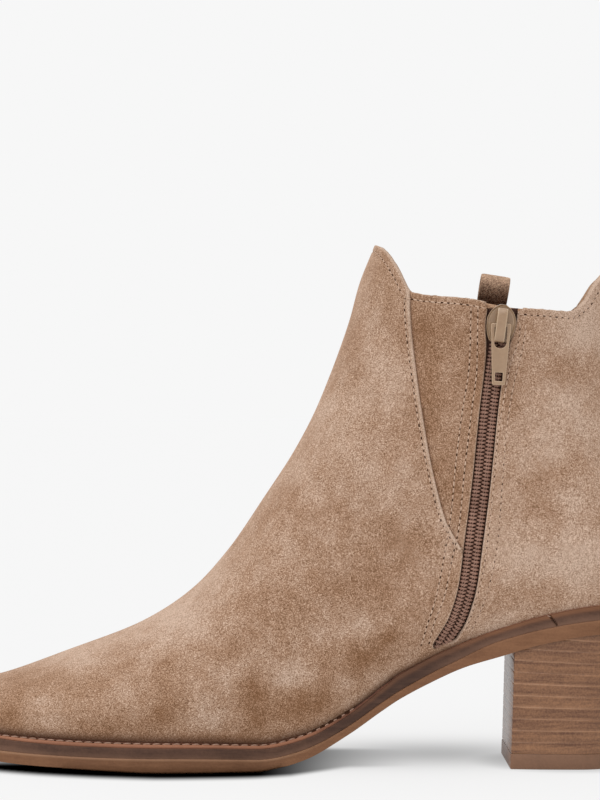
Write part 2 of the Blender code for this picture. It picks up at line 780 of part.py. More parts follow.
def heel(root):
    """Makes the stacked heel with the grooves between its layers, and the top piece under it."""
    foot = LIFT_HEIGHT + GAP
    loops = [heel_ring(foot)]
    for layer in range(1, STACK_LAYERS + 1):
        height = foot + layer * STACK_PITCH
        tilt = STACK_TILT * layer / STACK_LAYERS
        loops.append(heel_ring(height - GROOVE_HALF, tilt))
        loops.append(heel_ring(height, tilt, GROOVE_DEPTH))
        loops.append(heel_ring(height + GROOVE_HALF, tilt))
    loops.append(heel_ring(SEAT_HEIGHT + 2.0 * STACK_PITCH))
    points, faces = loops_to_solid(loops, heel_pairs())
    block = mesh_object("heel", points, faces, root, HEEL_STACK)
    seat_x = np.linspace(HEEL_BREAST_FOOT - STACK_PITCH, HALF_LENGTH, SEAT_STATIONS)
    seat = side_profile_cutter("seat_cut", seat_x, lambda x: tread(x) - GAP, root)
    combine(block, seat, "DIFFERENCE")

    loops = []
    for z in (0.0, LIFT_HEIGHT):
        loops.append([(x, y, z) for x, y, _ in heel_ring(z, inset=-LIFT_PROUD)])
    points, faces = loops_to_solid(loops, heel_pairs())
    mesh_object("heel_lift", points, faces, root, LIFT_TAN)


def zip_chain(root):
    """Makes the closed zip as a strip of the wall, in the slot."""
    wall_patch(
        "zip_chain",
        zip_heights(SLOT_FOOT + GAP, CHAIN_TOP),
        lambda z: slot_edge(z, -1.0, GAP),
        lambda z: slot_edge(z, 1.0, GAP),
        CHAIN_OUTER,
        CHAIN_INNER,
        INSIDE,
        root,
        ZIP_BROWN,
        columns=4,
    )


def slider_frame():
    """Returns the slider's frame in millimetres: across the zip, along it and out from the wall."""
    step = 1.0
    x = float(zip_x(SLIDER_Z))
    place = Vector((x, wall_y(x, SLIDER_Z, INSIDE), SLIDER_Z))
    slope_x = (wall_y(x + step, SLIDER_Z, INSIDE) - wall_y(x - step, SLIDER_Z, INSIDE)) / (2 * step)
    slope_z = (wall_y(x, SLIDER_Z + step, INSIDE) - wall_y(x, SLIDER_Z - step, INSIDE)) / (2 * step)
    out = Vector((slope_x, -1.0, slope_z)).normalized()
    lean = float(zip_x(SLIDER_Z + step) - zip_x(SLIDER_Z - step)) / (2 * step)
    along = Vector((lean, 0.0, 1.0))
    along = (along - along.dot(out) * out).normalized()
    across = along.cross(out)
    frame = Matrix((across, along, out)).transposed().to_4x4()
    frame.translation = place
    return frame


def zip_slider(root, frame):
    """Makes the slider: a rounded plate with the bridge that holds the pull tab."""
    half = smooth(column(SLIDER_EDGE, "along"), column(SLIDER_EDGE, "half"))
    alongs = np.linspace(SLIDER_EDGE[0].along, SLIDER_EDGE[-1].along, 13)
    outline = [(float(half(t)), t) for t in alongs] + [(-float(half(t)), t) for t in alongs[::-1]]
    points, faces = prism(outline, SLIDER_FLOOR, SLIDER_FACE)
    plate = mesh_object("zip_slider", points, faces, root, ZIP_METAL, frame)

    sunk = SLIDER_FACE - BRIDGE_SUNK
    shoulder = BRIDGE_TOP - BRIDGE_SHOULDER
    armpit = BRIDGE_UNDER - BRIDGE_FILLET
    low, high = BRIDGE_LOW_END, BRIDGE_HIGH_END
    outline = (
        (low, sunk),
        (low + BRIDGE_LEG, sunk),
        (low + BRIDGE_LEG, armpit),
        (low + BRIDGE_LEG + BRIDGE_FILLET, BRIDGE_UNDER),
        (high - BRIDGE_LEG - BRIDGE_FILLET, BRIDGE_UNDER),
        (high - BRIDGE_LEG, armpit),
        (high - BRIDGE_LEG, sunk),
        (high, sunk),
        (high, shoulder),
        (high - BRIDGE_SHOULDER, BRIDGE_TOP),
        (low + BRIDGE_SHOULDER, BRIDGE_TOP),
        (low, shoulder),
    )
    points, faces = prism(outline, -BRIDGE_HALF, BRIDGE_HALF, order=(1, 2, 0))
    bridge = mesh_object("bridge_join", points, faces, root, place=frame)
    combine(plate, bridge, "UNION")


def tab_frame(frame):
    """Returns the pull tab's frame, on the axis of the bar that it swings on."""
    turned = frame @ Matrix.Rotation(TAB_HANG, 4, "Z")
    turned.translation = frame @ Vector((0.0, HINGE_UP, HINGE_OUT))
    return turned


def zip_pull(root, frame):
    """Makes the tapered pull tab with the eye that goes round the bridge and a small square hole."""
    place = tab_frame(frame)
    half = TAB_THICKNESS / 2
    right = [
        (TAB_HALF_END - TAB_CORNER, -TAB_LENGTH),
        (TAB_HALF_END, -TAB_LENGTH + TAB_CORNER),
        (TAB_HALF_TOP, TAB_BAR - TAB_CORNER),
        (TAB_HALF_TOP - TAB_CORNER, TAB_BAR),
    ]
    outline = right + [(-x, y) for x, y in right[::-1]]
    points, faces = prism(outline, -half, half)
    tab = mesh_object("zip_pull", points, faces, root, ZIP_METAL, place)

    round_from = -TAB_EYE_END + TAB_EYE_HALF
    eye = [(-TAB_EYE_HALF, -TAB_BAR)]
    for angle in np.linspace(math.pi, 2 * math.pi, 9):
        eye.append((TAB_EYE_HALF * math.cos(angle), round_from + TAB_EYE_HALF * math.sin(angle)))
    eye.append((TAB_EYE_HALF, -TAB_BAR))
    square = (
        (-TAB_HOLE_HALF, -TAB_HOLE_TO),
        (TAB_HOLE_HALF, -TAB_HOLE_TO),
        (TAB_HOLE_HALF, -TAB_HOLE_FROM),
        (-TAB_HOLE_HALF, -TAB_HOLE_FROM),
    )
    for name, outline in (("tab_eye_cut", eye), ("tab_hole_cut", square)):
        points, faces = prism(outline, -TAB_THICKNESS, TAB_THICKNESS)
        combine(tab, mesh_object(name, points, faces, root, place=place), "DIFFERENCE")


def pull_loop(root):
    """Makes the folded strap: two plies against the inside of the outer wall that part into a loop."""
    half = LOOP_STRAP / 2
    angles = np.linspace(-math.pi / 2, 1.5 * math.pi, LOOP_STEPS + 1)
    middle = LOOP_START + LOOP_RISE / 2
    outer = []
    inner = []
    for angle in angles:
        rise_share = 0.5 + 0.5 * math.sin(angle)
        belly = LOOP_BULGE * math.cos(angle) * (LOOP_PINCH + (1.0 - LOOP_PINCH) * rise_share)
        height = middle + (LOOP_RISE / 2) * math.sin(angle)
        outer.append((belly + half * math.cos(angle), height + half * math.sin(angle)))
        inner.append((belly - half * math.cos(angle), height - half * math.sin(angle)))
    right = [(LOOP_STRAP, -LOOP_TAIL), (LOOP_STRAP, 0.0)]
    left = [(-LOOP_STRAP, 0.0), (-LOOP_STRAP, -LOOP_TAIL)]
    outline = right + outer[1:-1] + left
    points, faces = prism(outline, -LOOP_WIDTH / 2, LOOP_WIDTH / 2, order=(1, 2, 0))
    edges = (LOOP_X - LOOP_WIDTH / 2, LOOP_X + LOOP_WIDTH / 2)
    wall_top = min(wall_y(x, LOOP_Z, OUTSIDE) for x in edges)
    wall_foot = min(wall_y(x, LOOP_Z - LOOP_TAIL, OUTSIDE) for x in edges)
    lean = math.atan2(wall_top - wall_foot, LOOP_TAIL)
    seat = Vector((LOOP_X, wall_top - WALL - LOOP_CLEAR - LOOP_STRAP, LOOP_Z))
    turn = Matrix.Rotation(-lean, 4, "X") @ Matrix.Rotation(LOOP_TILT, 4, "Y")
    place = Matrix.Translation(seat) @ turn
    strap = mesh_object("pull_loop", points, faces, root, STRAP_BROWN, place)
    hole = [(x, max(y, LOOP_START + half)) for x, y in inner[1:-1]]
    points, faces = prism(hole, -LOOP_WIDTH, LOOP_WIDTH, order=(1, 2, 0))
    combine(strap, mesh_object("loop_cut", points, faces, root, place=place), "DIFFERENCE")


def main():
    """Clears the scene and makes the boot."""
    for thing in list(bpy.data.objects):
        bpy.data.objects.remove(thing)
    root = bpy.data.objects.new("boot_frame", None)
    bpy.context.scene.collection.objects.link(root)
    sole(root)
    heel(root)
    upper(root)
    zip_chain(root)
    frame = slider_frame()
    zip_slider(root, frame)
    zip_pull(root, frame)
    pull_loop(root)


main()
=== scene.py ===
"""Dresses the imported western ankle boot: suede panels, coil zip, welted sole, stacked heel and a studio.

The tables repeat the part's own sizes, in millimetres or in percent of a driving dimension, and every mesh
is made in metres. The toe points to -X, the zip side faces -Y and Z is up.
"""

import logging
import math
from dataclasses import dataclass
from enum import Enum
from typing import Callable, NamedTuple, Optional, Sequence, Union

import bmesh
import bpy
import numpy as np
from mathutils import Matrix, Vector


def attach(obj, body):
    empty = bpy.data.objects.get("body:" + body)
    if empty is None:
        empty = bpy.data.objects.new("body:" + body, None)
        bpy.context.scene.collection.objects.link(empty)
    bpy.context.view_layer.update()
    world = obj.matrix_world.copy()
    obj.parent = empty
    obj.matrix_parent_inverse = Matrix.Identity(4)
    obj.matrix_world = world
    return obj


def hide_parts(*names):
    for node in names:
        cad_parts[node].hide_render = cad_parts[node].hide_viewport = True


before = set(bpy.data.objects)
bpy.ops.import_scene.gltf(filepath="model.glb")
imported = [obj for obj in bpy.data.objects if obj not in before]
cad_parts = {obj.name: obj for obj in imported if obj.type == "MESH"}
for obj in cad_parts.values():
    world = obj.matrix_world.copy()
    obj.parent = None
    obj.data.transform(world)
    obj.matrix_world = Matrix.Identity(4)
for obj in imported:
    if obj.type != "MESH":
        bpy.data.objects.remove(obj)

LOG = logging.getLogger("boot")
MM = 0.001

Array = np.ndarray
Curve = Callable[[Array], Array]
Colour = tuple[float, float, float]
Face = tuple[int, ...]
Material = bpy.types.Material
Mesh = bmesh.types.BMesh
Node = bpy.types.Node
Piece = bpy.types.Object
Socket = bpy.types.NodeSocket
Feed = Union[Socket, float, tuple[float, ...]]
Palette = dict[str, Material]


class Side(Enum):
    """Sides of the boot, as the sign of Y."""

    INSIDE = -1.0
    OUTSIDE = 1.0


def rows_of(kind: type, *rows: tuple) -> tuple:
    """Returns a table's rows as values of one kind."""
    return tuple(kind(*row) for row in rows)


class Edge(NamedTuple):
    """Plan of the outsole at one x: percent of the length, and both edges in percent of the ball width."""

    x: float
    inside: float
    outside: float


OUTLINE = rows_of(
    Edge,
    (-50, -4.4, -4.4), (-48.1, -14.3, 5.5), (-45.1, -21.4, 12.6), (-39.5, -30.8, 23.1),
    (-32, -40.7, 34.1), (-22.6, -47.8, 43.4), (-14.3, -50, 48.4), (-5.6, -47.3, 50),
    (3.8, -39.6, 47.8), (13.2, -30.8, 42.3), (22.6, -28.6, 37.4), (32, -31.3, 34.6), (39.5, -33, 33.5),
    (45.1, -27.5, 27.5), (48.9, -14.3, 14.3), (50, 0, 0),
)


class Layers(NamedTuple):
    """Sole at one station: x in percent of the length, tread in percent of the seat height, layers in mm."""

    x: float
    tread: float
    outsole: float
    midsole: float
    welt: float


SOLE = rows_of(
    Layers,
    (-50, 17.7, 3.6, 4, 1.5), (-35, 7.1, 4, 3.9, 1.7), (-27, 3.6, 4.6, 3.5, 2.1),
    (-15, 0, 5.7, 3.5, 2), (-2.5, 0, 5, 3.5, 1.8), (3, 8.5, 3.3, 3.5, 1.9),
    (9.4, 27.5, 2.4, 3.7, 1.5), (13.5, 43, 2.4, 4.5, 0.8), (15.8, 51.3, 2.4, 5.4, 0),
    (22.2, 68.5, 3.1, 5, 0), (28.6, 80.2, 5.4, 3.9, 0), (33.5, 88.5, 5.1, 4.3, 0),
    (39.8, 95.2, 4.9, 4.8, 0), (50, 100, 5, 5, 0),
)


class Section(NamedTuple):
    """One slice of the last, from the front ridge to the sole edge or the back seam.

    The x columns are in percent of the length, ridge_z and rise in percent of the front height, ridge_y and
    both half widths in percent of the ball width. The slice is widest at the share `widest` of its way down.
    """

    name: str
    ridge_x: float
    ridge_z: float
    base_x: float
    rise: float
    ridge_y: float
    inside: float
    outside: float
    widest: float
    blunt: float


LAST = rows_of(
    Section,
    ("toe tip", -48.87, 11.1, -48.87, 0, -4.4, 0, 0, 0.62, 2),
    ("toe round", -47.9, 13, -47.9, 0, -4.4, 6, 6, 0.62, 2),
    ("toe point", -45.3, 14.4, -45.1, 0, -4.3, 13.7, 13.7, 0.64, 2),
    ("toe box", -41, 15.8, -40.6, 0, -4, 22.5, 22.5, 0.66, 1.9),
    ("toe end", -36.2, 17.1, -36.2, 0, -3.5, 30, 30, 0.68, 1.8),
    ("vamp", -26.8, 21.9, -27.1, 0, -2.9, 40.2, 40.4, 0.72, 1.8),
    ("vamp top", -17.4, 27.3, -18, 0, -2, 45.7, 46.6, 0.74, 1.8),
    ("ball", -11.1, 33.4, -10.5, 0, -1.6, 45.7, 49, 0.75, 1.8),
    ("throat", -6.4, 40.9, -3, 0, -1.6, 42.6, 49.2, 0.76, 2),
    ("waist", -1.7, 51, 5.3, 0, -1.3, 37.6, 46.4, 0.76, 2.4),
    ("arch", 2.3, 60.1, 16.9, 0, -0.9, 34.5, 40.4, 0.74, 3.2),
    ("heel front", 4.9, 67.4, 30.1, 0, -0.4, 34, 36.5, 0.72, 4),
    ("heel seat", 6.8, 74.1, 49.55, 0, 0, 34.6, 35.1, 0.72, 4.6),
    ("counter", 8.1, 79.2, 49.4, 9.4, 0, 34.4, 34.6, 0.69, 4.4),
    ("ankle", 9.5, 85.3, 47, 23.3, 0, 34, 34.1, 0.62, 3.6),
    ("shaft", 10.75, 92.1, 44.7, 40.2, 0, 34.5, 34.5, 0.55, 2.9),
    ("collar", 12.8, 99.8, 45.5, 63.5, 0, 36.5, 36.5, 0.52, 2.4),
    ("above collar", 14.5, 107.2, 46.2, 74.4, 0, 37.6, 37.6, 0.52, 2.4),
)
WAIST_ROW = 8
SEAT_ROW = 12
TOP_ROW = len(LAST) - 1


class Spot(NamedTuple):
    """One point of a line on the boot's side view."""

    x: float
    z: float


COLLAR = rows_of(
    Spot,
    (20, 179.6), (33, 179.4), (35, 178.6), (36.3, 177.2), (39.2, 173.2), (42.4, 167.3), (44.7, 162.9),
    (47, 161.9), (64.7, 159.9), (80.9, 156.9), (93, 156), (100, 155.5), (104.2, 158.2),
    (109.8, 166.1), (114, 170), (121, 172.4), (140, 172.6),
)
# Where the two rows of stitches along the collar meet, under the corner in front of the zip
NOTCH = Spot(43.7, 159.9)
ZIP_LINE = rows_of(
    Spot,
    (56.5, 42), (61.7, 51.5), (64.8, 62.7), (66.3, 73.8), (69.2, 96.4), (72.2, 124.8), (75.9, 151.5),
    (78, 168),
)
VAMP_SEAM = rows_of(
    Spot,
    (63, 74.4), (60, 79.5), (57.2, 84.9), (54.4, 94.7), (51.6, 107.6), (47.9, 130.2), (45, 158.3),
    (44.9, 168),
)
# Rows of stitches in front of the zip and behind it, bottom to top
FRONT_INNER_ROW = rows_of(
    Spot,
    (51.3, 41), (53, 48.7), (57, 59.9), (59.2, 71), (61.7, 82.2), (62.4, 88.3), (63.6, 101.8),
    (65.1, 114.3), (66, 121.8), (67.8, 137), (68.1, 158),
)
FRONT_OUTER_ROW = rows_of(
    Spot,
    (48.6, 41.3), (50.8, 48.7), (53.6, 57.5), (56, 68.7), (58.2, 81.7), (59.2, 88), (60.4, 101.8),
    (62, 115.4), (62.9, 121.8), (65.3, 138.7), (65.8, 158),
)
BACK_INNER_ROW = rows_of(
    Spot,
    (64.1, 46.6), (68.2, 59.9), (70.2, 69.4), (71.9, 82.2), (73.4, 96.4), (74.9, 113), (77.6, 129.7),
    (79.2, 138), (82.1, 147), (82.6, 155),
)
BACK_OUTER_ROW = rows_of(
    Spot,
    (65.9, 46.4), (68, 51.4), (70.4, 57.5), (72.9, 66.7), (75, 79.5), (76.3, 96.4), (77.7, 114.3),
    (80, 129.7), (84, 148), (84.4, 155),
)


class StitchRow(NamedTuple):
    """A row of stitches beside the zip: its line, its lower and upper end, and whether it is deep."""

    line: tuple[Spot, ...]
    low: float
    top: float
    deep: bool


ZIP_ROWS = rows_of(
    StitchRow,
    (FRONT_INNER_ROW, 43.2, 157.5, True),
    (FRONT_OUTER_ROW, 42.6, 157.5, True),
    (BACK_INNER_ROW, 48.2, 153, False),
    (BACK_OUTER_ROW, 48.2, 153, False),
)


class HalfWidth(NamedTuple):
    """Half width of the zip's slot by height, of its slider along the zip or of the heel to its breast."""

    at: float
    half: float


SLOT = rows_of(
    HalfWidth,
    (0, 3.15), (130, 3.15), (140, 3.45), (145, 4), (149, 4.8), (153, 5.2), (180, 5.3),
)
SLIDER_EDGE = rows_of(
    HalfWidth,
    (-6.3, 3.3), (-4.2, 4.2), (-1.2, 4.8), (0.8, 4.9), (3, 4.3), (4.9, 3), (6.3, 1),
)
HEEL_PLAN = rows_of(
    HalfWidth,
    (0, 0), (0.25, 13.2), (0.5, 24), (0.7, 29.1), (0.85, 28.8), (1, 27.3),
)


class Crease(NamedTuple):
    """A soft trough (negative depth) or ridge in the suede along a line on one side."""

    name: str
    side: Side
    depth: float
    width: float
    path: tuple[tuple[float, float], ...]


CREASES = rows_of(
    Crease,
    ("ball fold", Side.INSIDE, -0.55, 4.5, ((-24, 50), (-12, 38), (2, 25))),
    ("ball roll", Side.INSIDE, 0.45, 5, ((-14, 56), (0, 44), (14, 30))),
    ("waist hollow", Side.INSIDE, -0.6, 6.5, ((22, 52), (33, 40), (38, 33))),
    ("instep roll", Side.INSIDE, 0.4, 7, ((14, 60), (28, 49), (44, 46))),
    ("toe hollow", Side.INSIDE, -0.4, 6, ((-50, 38), (-40, 30), (-34, 20))),
    ("toe roll", Side.INSIDE, 0.35, 5, ((-32, 36), (-26, 26), (-24, 18))),
    ("ankle hollow", Side.INSIDE, -0.5, 8, ((24, 92), (34, 80), (46, 70))),
    ("quarter hollow", Side.INSIDE, -0.6, 8, ((84, 112), (92, 98), (98, 84))),
    ("quarter roll", Side.INSIDE, 0.4, 7, ((88, 74), (98, 68), (112, 70))),
    ("shaft hollow", Side.INSIDE, -0.4, 6, ((96, 140), (106, 128), (114, 122))),
    ("outer ball fold", Side.OUTSIDE, -0.6, 4.5, ((-26, 50), (-10, 37), (8, 27))),
    ("outer ball roll", Side.OUTSIDE, 0.4, 5, ((-14, 56), (4, 42), (20, 33))),
    ("outer ankle", Side.OUTSIDE, -0.6, 8, ((20, 96), (34, 82), (48, 68))),
    ("outer quarter", Side.OUTSIDE, -0.5, 8, ((80, 104), (94, 92), (106, 88))),
)


class NapAndLight(NamedTuple):
    """A place where the suede is lighter (positive tone) or darker, as a soft round stroke: marks in the
    brushed pile, with a painted highlight along the vamp's ridge.
    """

    x: float
    z: float
    reach_x: float
    reach_z: float
    tone: float


INSIDE_NAP_AND_LIGHT = rows_of(
    NapAndLight,
    # Toe and ball
    (-78.5, 23, 10, 7, 0.6), (-92, 18, 10, 5, -0.9), (-87.5, 26, 4, 5, -0.4),
    (-78, 30, 14, 5, -0.35), (-64, 26, 5, 6, -0.3), (-53, 25, 7, 5, 0.25),
    (-51, 37.5, 7, 4, -0.35), (-36, 38, 7, 4.5, -0.5), (-24, 47, 6, 4.5, -0.1),
    (-54, 17, 13, 5, -0.45), (-37, 28, 10, 7, -0.6), (-35, 20, 6, 6, -0.55),
    (-22, 19, 7, 6, 0.45), (-20, 12, 14, 2.5, -0.5), (-17, 34, 4.5, 4, 0.55),
    (-18, 41, 9, 3.5, -0.35), (-9, 40.5, 7, 3, 0.5), (-7, 28, 5, 6, -0.75),
    (-7.5, 18, 5, 4, -0.5), (3.5, 32, 5.5, 3.5, 0.55),
    # Ridge of the vamp: painted highlight where its top catches the light
    (-70, 38, 24, 6, 0.7), (-50, 46, 12, 6, 0.5), (-33, 52, 12, 8, 0.75),
    (-19, 64, 10, 8, 0.6),
    # Waist
    (8, 22, 11, 7, -0.95), (15, 25, 7, 4, -0.4), (22, 30.5, 3.5, 4, 0.6),
    (15, 47, 8, 5, 0.5), (28, 50, 7, 4, 0.6), (38.5, 46, 4, 3.5, -0.8),
    (31.5, 39.5, 9, 6, -0.9), (27, 62, 15, 7, -0.5), (42, 71, 12, 12, -0.25),
    # Ankle and front of the shaft
    (25, 100, 26, 24, 0.28), (20, 123, 10, 3.5, 0.25), (37, 115.5, 5, 3.5, -0.3),
    (11, 87, 5, 3.5, -0.3), (4.5, 93, 3.5, 5, -0.3), (22, 84, 7, 5, -0.35),
    (-2, 64, 12, 9, -0.05), (44, 160, 4, 12, -0.1), (32, 158, 6, 14, 0.35),
    (34, 136, 9, 14, 0.2), (55.5, 86, 3.5, 8, 0.45),
    # Side panel
    (50, 140, 4, 22, -0.3), (52, 123, 3, 4, -0.3), (59, 126, 4, 20, 0.35),
    # Quarter
    (104, 148, 8, 7, 0.3), (84, 152, 8, 6, -0.2), (97, 135, 5, 4, -0.35),
    (93, 121, 9, 6, 0.2), (85, 112, 3.5, 5, -0.4), (92, 107.5, 4.5, 3, 0.3),
    (97, 101, 6, 4.5, -0.55), (87, 98, 7, 6, -0.5), (99.5, 92, 6, 3.5, 0.45),
    (92, 88.5, 6, 3.5, -0.45), (79.5, 84, 4, 5, 0.35), (105, 74.5, 6, 6, 0.4),
    (88, 72, 12, 7, 0.6), (80, 60.5, 7, 3.5, -0.35),
)
OUTSIDE_NAP_AND_LIGHT = rows_of(
    NapAndLight,
    (30, 46, 14, 10, 0.6), (8, 32, 12, 9, -0.7), (-40, 28, 14, 8, -0.6),
    (-70, 26, 14, 7, 0.4), (22, 92, 22, 20, 0.4), (52, 66, 14, 10, -0.5),
    (96, 100, 14, 10, -0.5), (92, 70, 16, 9, 0.6), (106, 120, 14, 14, 0.5),
)


def smooth(stations: Sequence[float], values: Sequence[float]) -> Curve:
    """Makes a function that runs smoothly through a table's column and never overshoots a row.

    Args:
        stations: Places of the rows, rising.
        values: The column's value at each row.

    Returns:
        The function, which takes one place or an array of them.
    """
    xs = np.asarray(stations, float)
    ys = np.asarray(values, float)
    steps = np.diff(xs)
    slopes = np.diff(ys) / steps
    tangents = np.zeros(len(ys))
    tangents[0] = slopes[0]
    tangents[-1] = slopes[-1]
    for i in range(1, len(ys) - 1):
        before, after = slopes[i - 1], slopes[i]
        if before * after > 0.0:
            heavy = 2.0 * steps[i] + steps[i - 1]
            light = steps[i] + 2.0 * steps[i - 1]
            tangents[i] = (heavy + light) / (heavy / before + light / after)

    def value(x: Array) -> Array:
        """Returns the column's value at a place.

        Args:
            x: Places in the first column.

        Returns:
            One value per place.
        """
        x = np.clip(x, xs[0], xs[-1])
        i = np.clip(np.searchsorted(xs, x, side="right") - 1, 0, len(steps) - 1)
        s = (x - xs[i]) / steps[i]
        rest = 1.0 - s
        return (
            ys[i] * (1.0 + 2.0 * s) * rest**2
            + tangents[i] * steps[i] * s * rest**2
            + ys[i + 1] * s**2 * (3.0 - 2.0 * s)
            - tangents[i + 1] * steps[i] * s**2 * rest
        )

    return value


def column(rows: Sequence[NamedTuple], name: str, unit: float = 1.0) -> list[float]:
    """Returns one column of a table, turned into millimetres by its unit."""
    return [getattr(row, name) * unit for row in rows]


def line_by_height(spots: Sequence[Spot]) -> Curve:
    """Returns the x of a line as a function of the height."""
    return smooth(column(spots, "z"), column(spots, "x"))


def slope_of(line: Curve, at: Array) -> Array:
    """Returns how much a line rises over one millimetre."""
    return line(at + 0.5) - line(at - 0.5)


def from_line(points: Array, start: Array, end: Array) -> Array:
    """Returns how far points are from the straight line between two ends.

    Args:
        points: Places, one per row.
        start: One end.
        end: The other end.

    Returns:
        One value per point.
    """
    run = end - start
    share = np.clip((points - start) @ run / (run @ run), 0.0, 1.0)
    return np.linalg.norm(points - start - share[:, None] * run, axis=1)


def half_width(rows: Sequence[HalfWidth]) -> Curve:
    """Returns a table of half widths as a function of place."""
    return smooth(column(rows, "at"), column(rows, "half"))


def ease(value: Array, start: float, end: float) -> Array:
    """Returns a soft step from 0 at start to 1 at end."""
    t = np.clip((value - start) / (end - start), 0.0, 1.0)
    return t * t * (3.0 - 2.0 * t)


@dataclass
class BootShape:
    """The shape that every piece follows: the sole's plan and layers, and the last.

    Attributes:
        length: Toe tip to the back of the sole.
        ball_width: Widest part of the sole.
        front_height: Floor to the front peak of the collar.
        seat_height: Floor to the outsole at the back of the heel.
        ledge: Sole beyond the upper at the toe and ball.
        ledge_back: The same at the waist and heel.
        sink: How far the upper's foot goes down to meet the sole.
        base_curve: How squarely a slice runs into its base.
        base_tuck: Least width of a slice over its width at the sole edge.
    """

    length: float = 266.0
    ball_width: float = 91.0
    front_height: float = 180.0
    seat_height: float = 48.0
    ledge: float = 3.0
    ledge_back: float = 1.2
    sink: float = 0.1
    base_curve: float = 2.2
    base_tuck: float = 1.03

    def __post_init__(self) -> None:
        """Turns the tables into functions of place."""
        long, wide, high = self.length / 100, self.ball_width / 100, self.front_height / 100
        self.half_length = self.length / 2
        angles = [math.acos(max(-1.0, min(1.0, -row.x / 50.0))) for row in OUTLINE]
        self.sole_side = {side: smooth(angles, column(OUTLINE, side.name.lower(), wide)) for side in Side}
        stations = column(SOLE, "x", long)
        self.tread = smooth(stations, column(SOLE, "tread", self.seat_height / 100))
        self.outsole_thickness = smooth(stations, column(SOLE, "outsole"))
        self.midsole_thickness = smooth(stations, column(SOLE, "midsole"))
        self.welt_thickness = smooth(stations, column(SOLE, "welt"))
        ledge_x = (-self.half_length, -10.0, 45.0, self.half_length)
        self.ledge_at = smooth(ledge_x, (self.ledge, self.ledge, self.ledge_back, self.ledge_back))
        dense = np.linspace(0.0, math.pi, 721)
        self.feather_line = {side: self.sole_edge(side, dense, self.ledge_at) for side in Side}

        rows = range(len(LAST))
        self.ridge_x = smooth(rows, column(LAST, "ridge_x", long))
        self.ridge_y = smooth(rows, column(LAST, "ridge_y", wide))
        self.ridge_z = smooth(rows, column(LAST, "ridge_z", high))
        self.base_x = smooth(rows, column(LAST, "base_x", long))
        self.rise = smooth(rows, column(LAST, "rise", high))
        self.widest = smooth(rows, column(LAST, "widest"))
        self.blunt = smooth(rows, column(LAST, "blunt"))
        self.half_width = {side: smooth(rows, column(LAST, side.name.lower(), wide)) for side in Side}
        self.search_rows = np.linspace(3.0, TOP_ROW, 901)

        self.zip_x = line_by_height(ZIP_LINE)
        self.seam_x = line_by_height(VAMP_SEAM)
        self.collar_z = smooth(column(COLLAR, "x"), column(COLLAR, "z"))
        self.crease_paths: dict[str, Array] = {}
        for crease in CREASES:
            spots = np.array(crease.path)
            self.crease_paths[crease.name] = self.wall(spots[:, 0], spots[:, 1], crease.side)[0]

    def outsole_top(self, x: Array) -> Array:
        """Returns the height of the line between outsole and midsole."""
        return self.tread(x) + self.outsole_thickness(x)

    def midsole_top(self, x: Array) -> Array:
        """Returns the height of the line between midsole and welt."""
        return self.outsole_top(x) + self.midsole_thickness(x)

    def sole_top(self, x: Array) -> Array:
        """Returns the height of the line where the upper meets the sole."""
        return self.midsole_top(x) + self.welt_thickness(x)

    def sole_edge(self, side: Side, angles: Array, inset: float | Curve) -> tuple[Array, Array]:
        """Returns the plan of one edge of the sole.

        Args:
            side: Which edge.
            angles: Places along it, from 0 at the toe to pi at the heel.
            inset: How far the edge is moved in, as a distance or a function of x.

        Returns:
            The x and y values.
        """
        nudge = 1e-4
        x = -self.half_length * np.cos(angles)
        y = self.sole_side[side](angles)
        ahead = np.minimum(angles + nudge, math.pi)
        behind = np.maximum(angles - nudge, 0.0)
        run = -self.half_length * (np.cos(ahead) - np.cos(behind))
        turn = self.sole_side[side](ahead) - self.sole_side[side](behind)
        length = np.hypot(run, turn)
        distance = inset(x) if callable(inset) else inset
        return x + side.value * turn / length * distance, y - side.value * run / length * distance

    def base_z(self, rows: Array) -> Array:
        """Returns the height of a slice's lower or back end."""
        return self.sole_top(self.base_x(rows)) - self.sink + self.rise(rows)

    def slice_width(self, rows: Array, way: Array, side: Side) -> Array:
        """Returns how far the last stands out from its ridge plane.

        Args:
            rows: Row numbers of the slices.
            way: Places down the slices, from 0 at the ridge to 1 at the base.
            side: Which side of the ridge.

        Returns:
            The widths.
        """
        xs, ys = self.feather_line[side]
        foot = np.abs(np.interp(self.base_x(rows), xs, ys) - self.ridge_y(rows))
        base = np.where(rows < SEAT_ROW, foot, 0.0)
        half = np.maximum(np.maximum(self.half_width[side](rows), self.base_tuck * base), 1e-9)
        turn = self.widest(rows)
        above = np.sqrt(1.0 - np.clip(1.0 - way / turn, 0.0, 1.0) ** self.blunt(rows))
        rest = np.clip((way - turn) / (1.0 - turn), 0.0, 1.0)
        below = np.sqrt(np.clip(1.0 - (1.0 - (base / half) ** 2) * rest**self.base_curve, 0.0, 1.0))
        return half * np.where(way < turn, above, below)

    def slice_points(self, rows: Array, way: Array, side: Side) -> Array:
        """Returns points of the last at places down its slices.

        Args:
            rows: Slices of the last.
            way: Shares of the way from ridge to base.
            side: Side of the boot.

        Returns:
            One point per place.
        """
        x = self.ridge_x(rows) + way * (self.base_x(rows) - self.ridge_x(rows))
        z = self.ridge_z(rows) + way * (self.base_z(rows) - self.ridge_z(rows))
        y = self.ridge_y(rows) + side.value * self.slice_width(rows, way, side)
        return np.stack(np.broadcast_arrays(x, y, z), -1)

    def surface(self, rows: Array, steps: Array, side: Side) -> Array:
        """Returns points of the last, with steps from 0 at the ridge to 1 at the base, close at both ends.

        Args:
            rows: Slices of the last.
            steps: Steps from 0 to 1.
            side: Side of the boot.

        Returns:
            One point per step.
        """
        turn = self.widest(rows)
        upper = turn * (1.0 - np.cos(np.pi * steps))
        lower = turn + (1.0 - turn) * np.sin(np.pi * (steps - 0.5))
        return self.slice_points(rows, np.where(steps < 0.5, upper, lower), side)

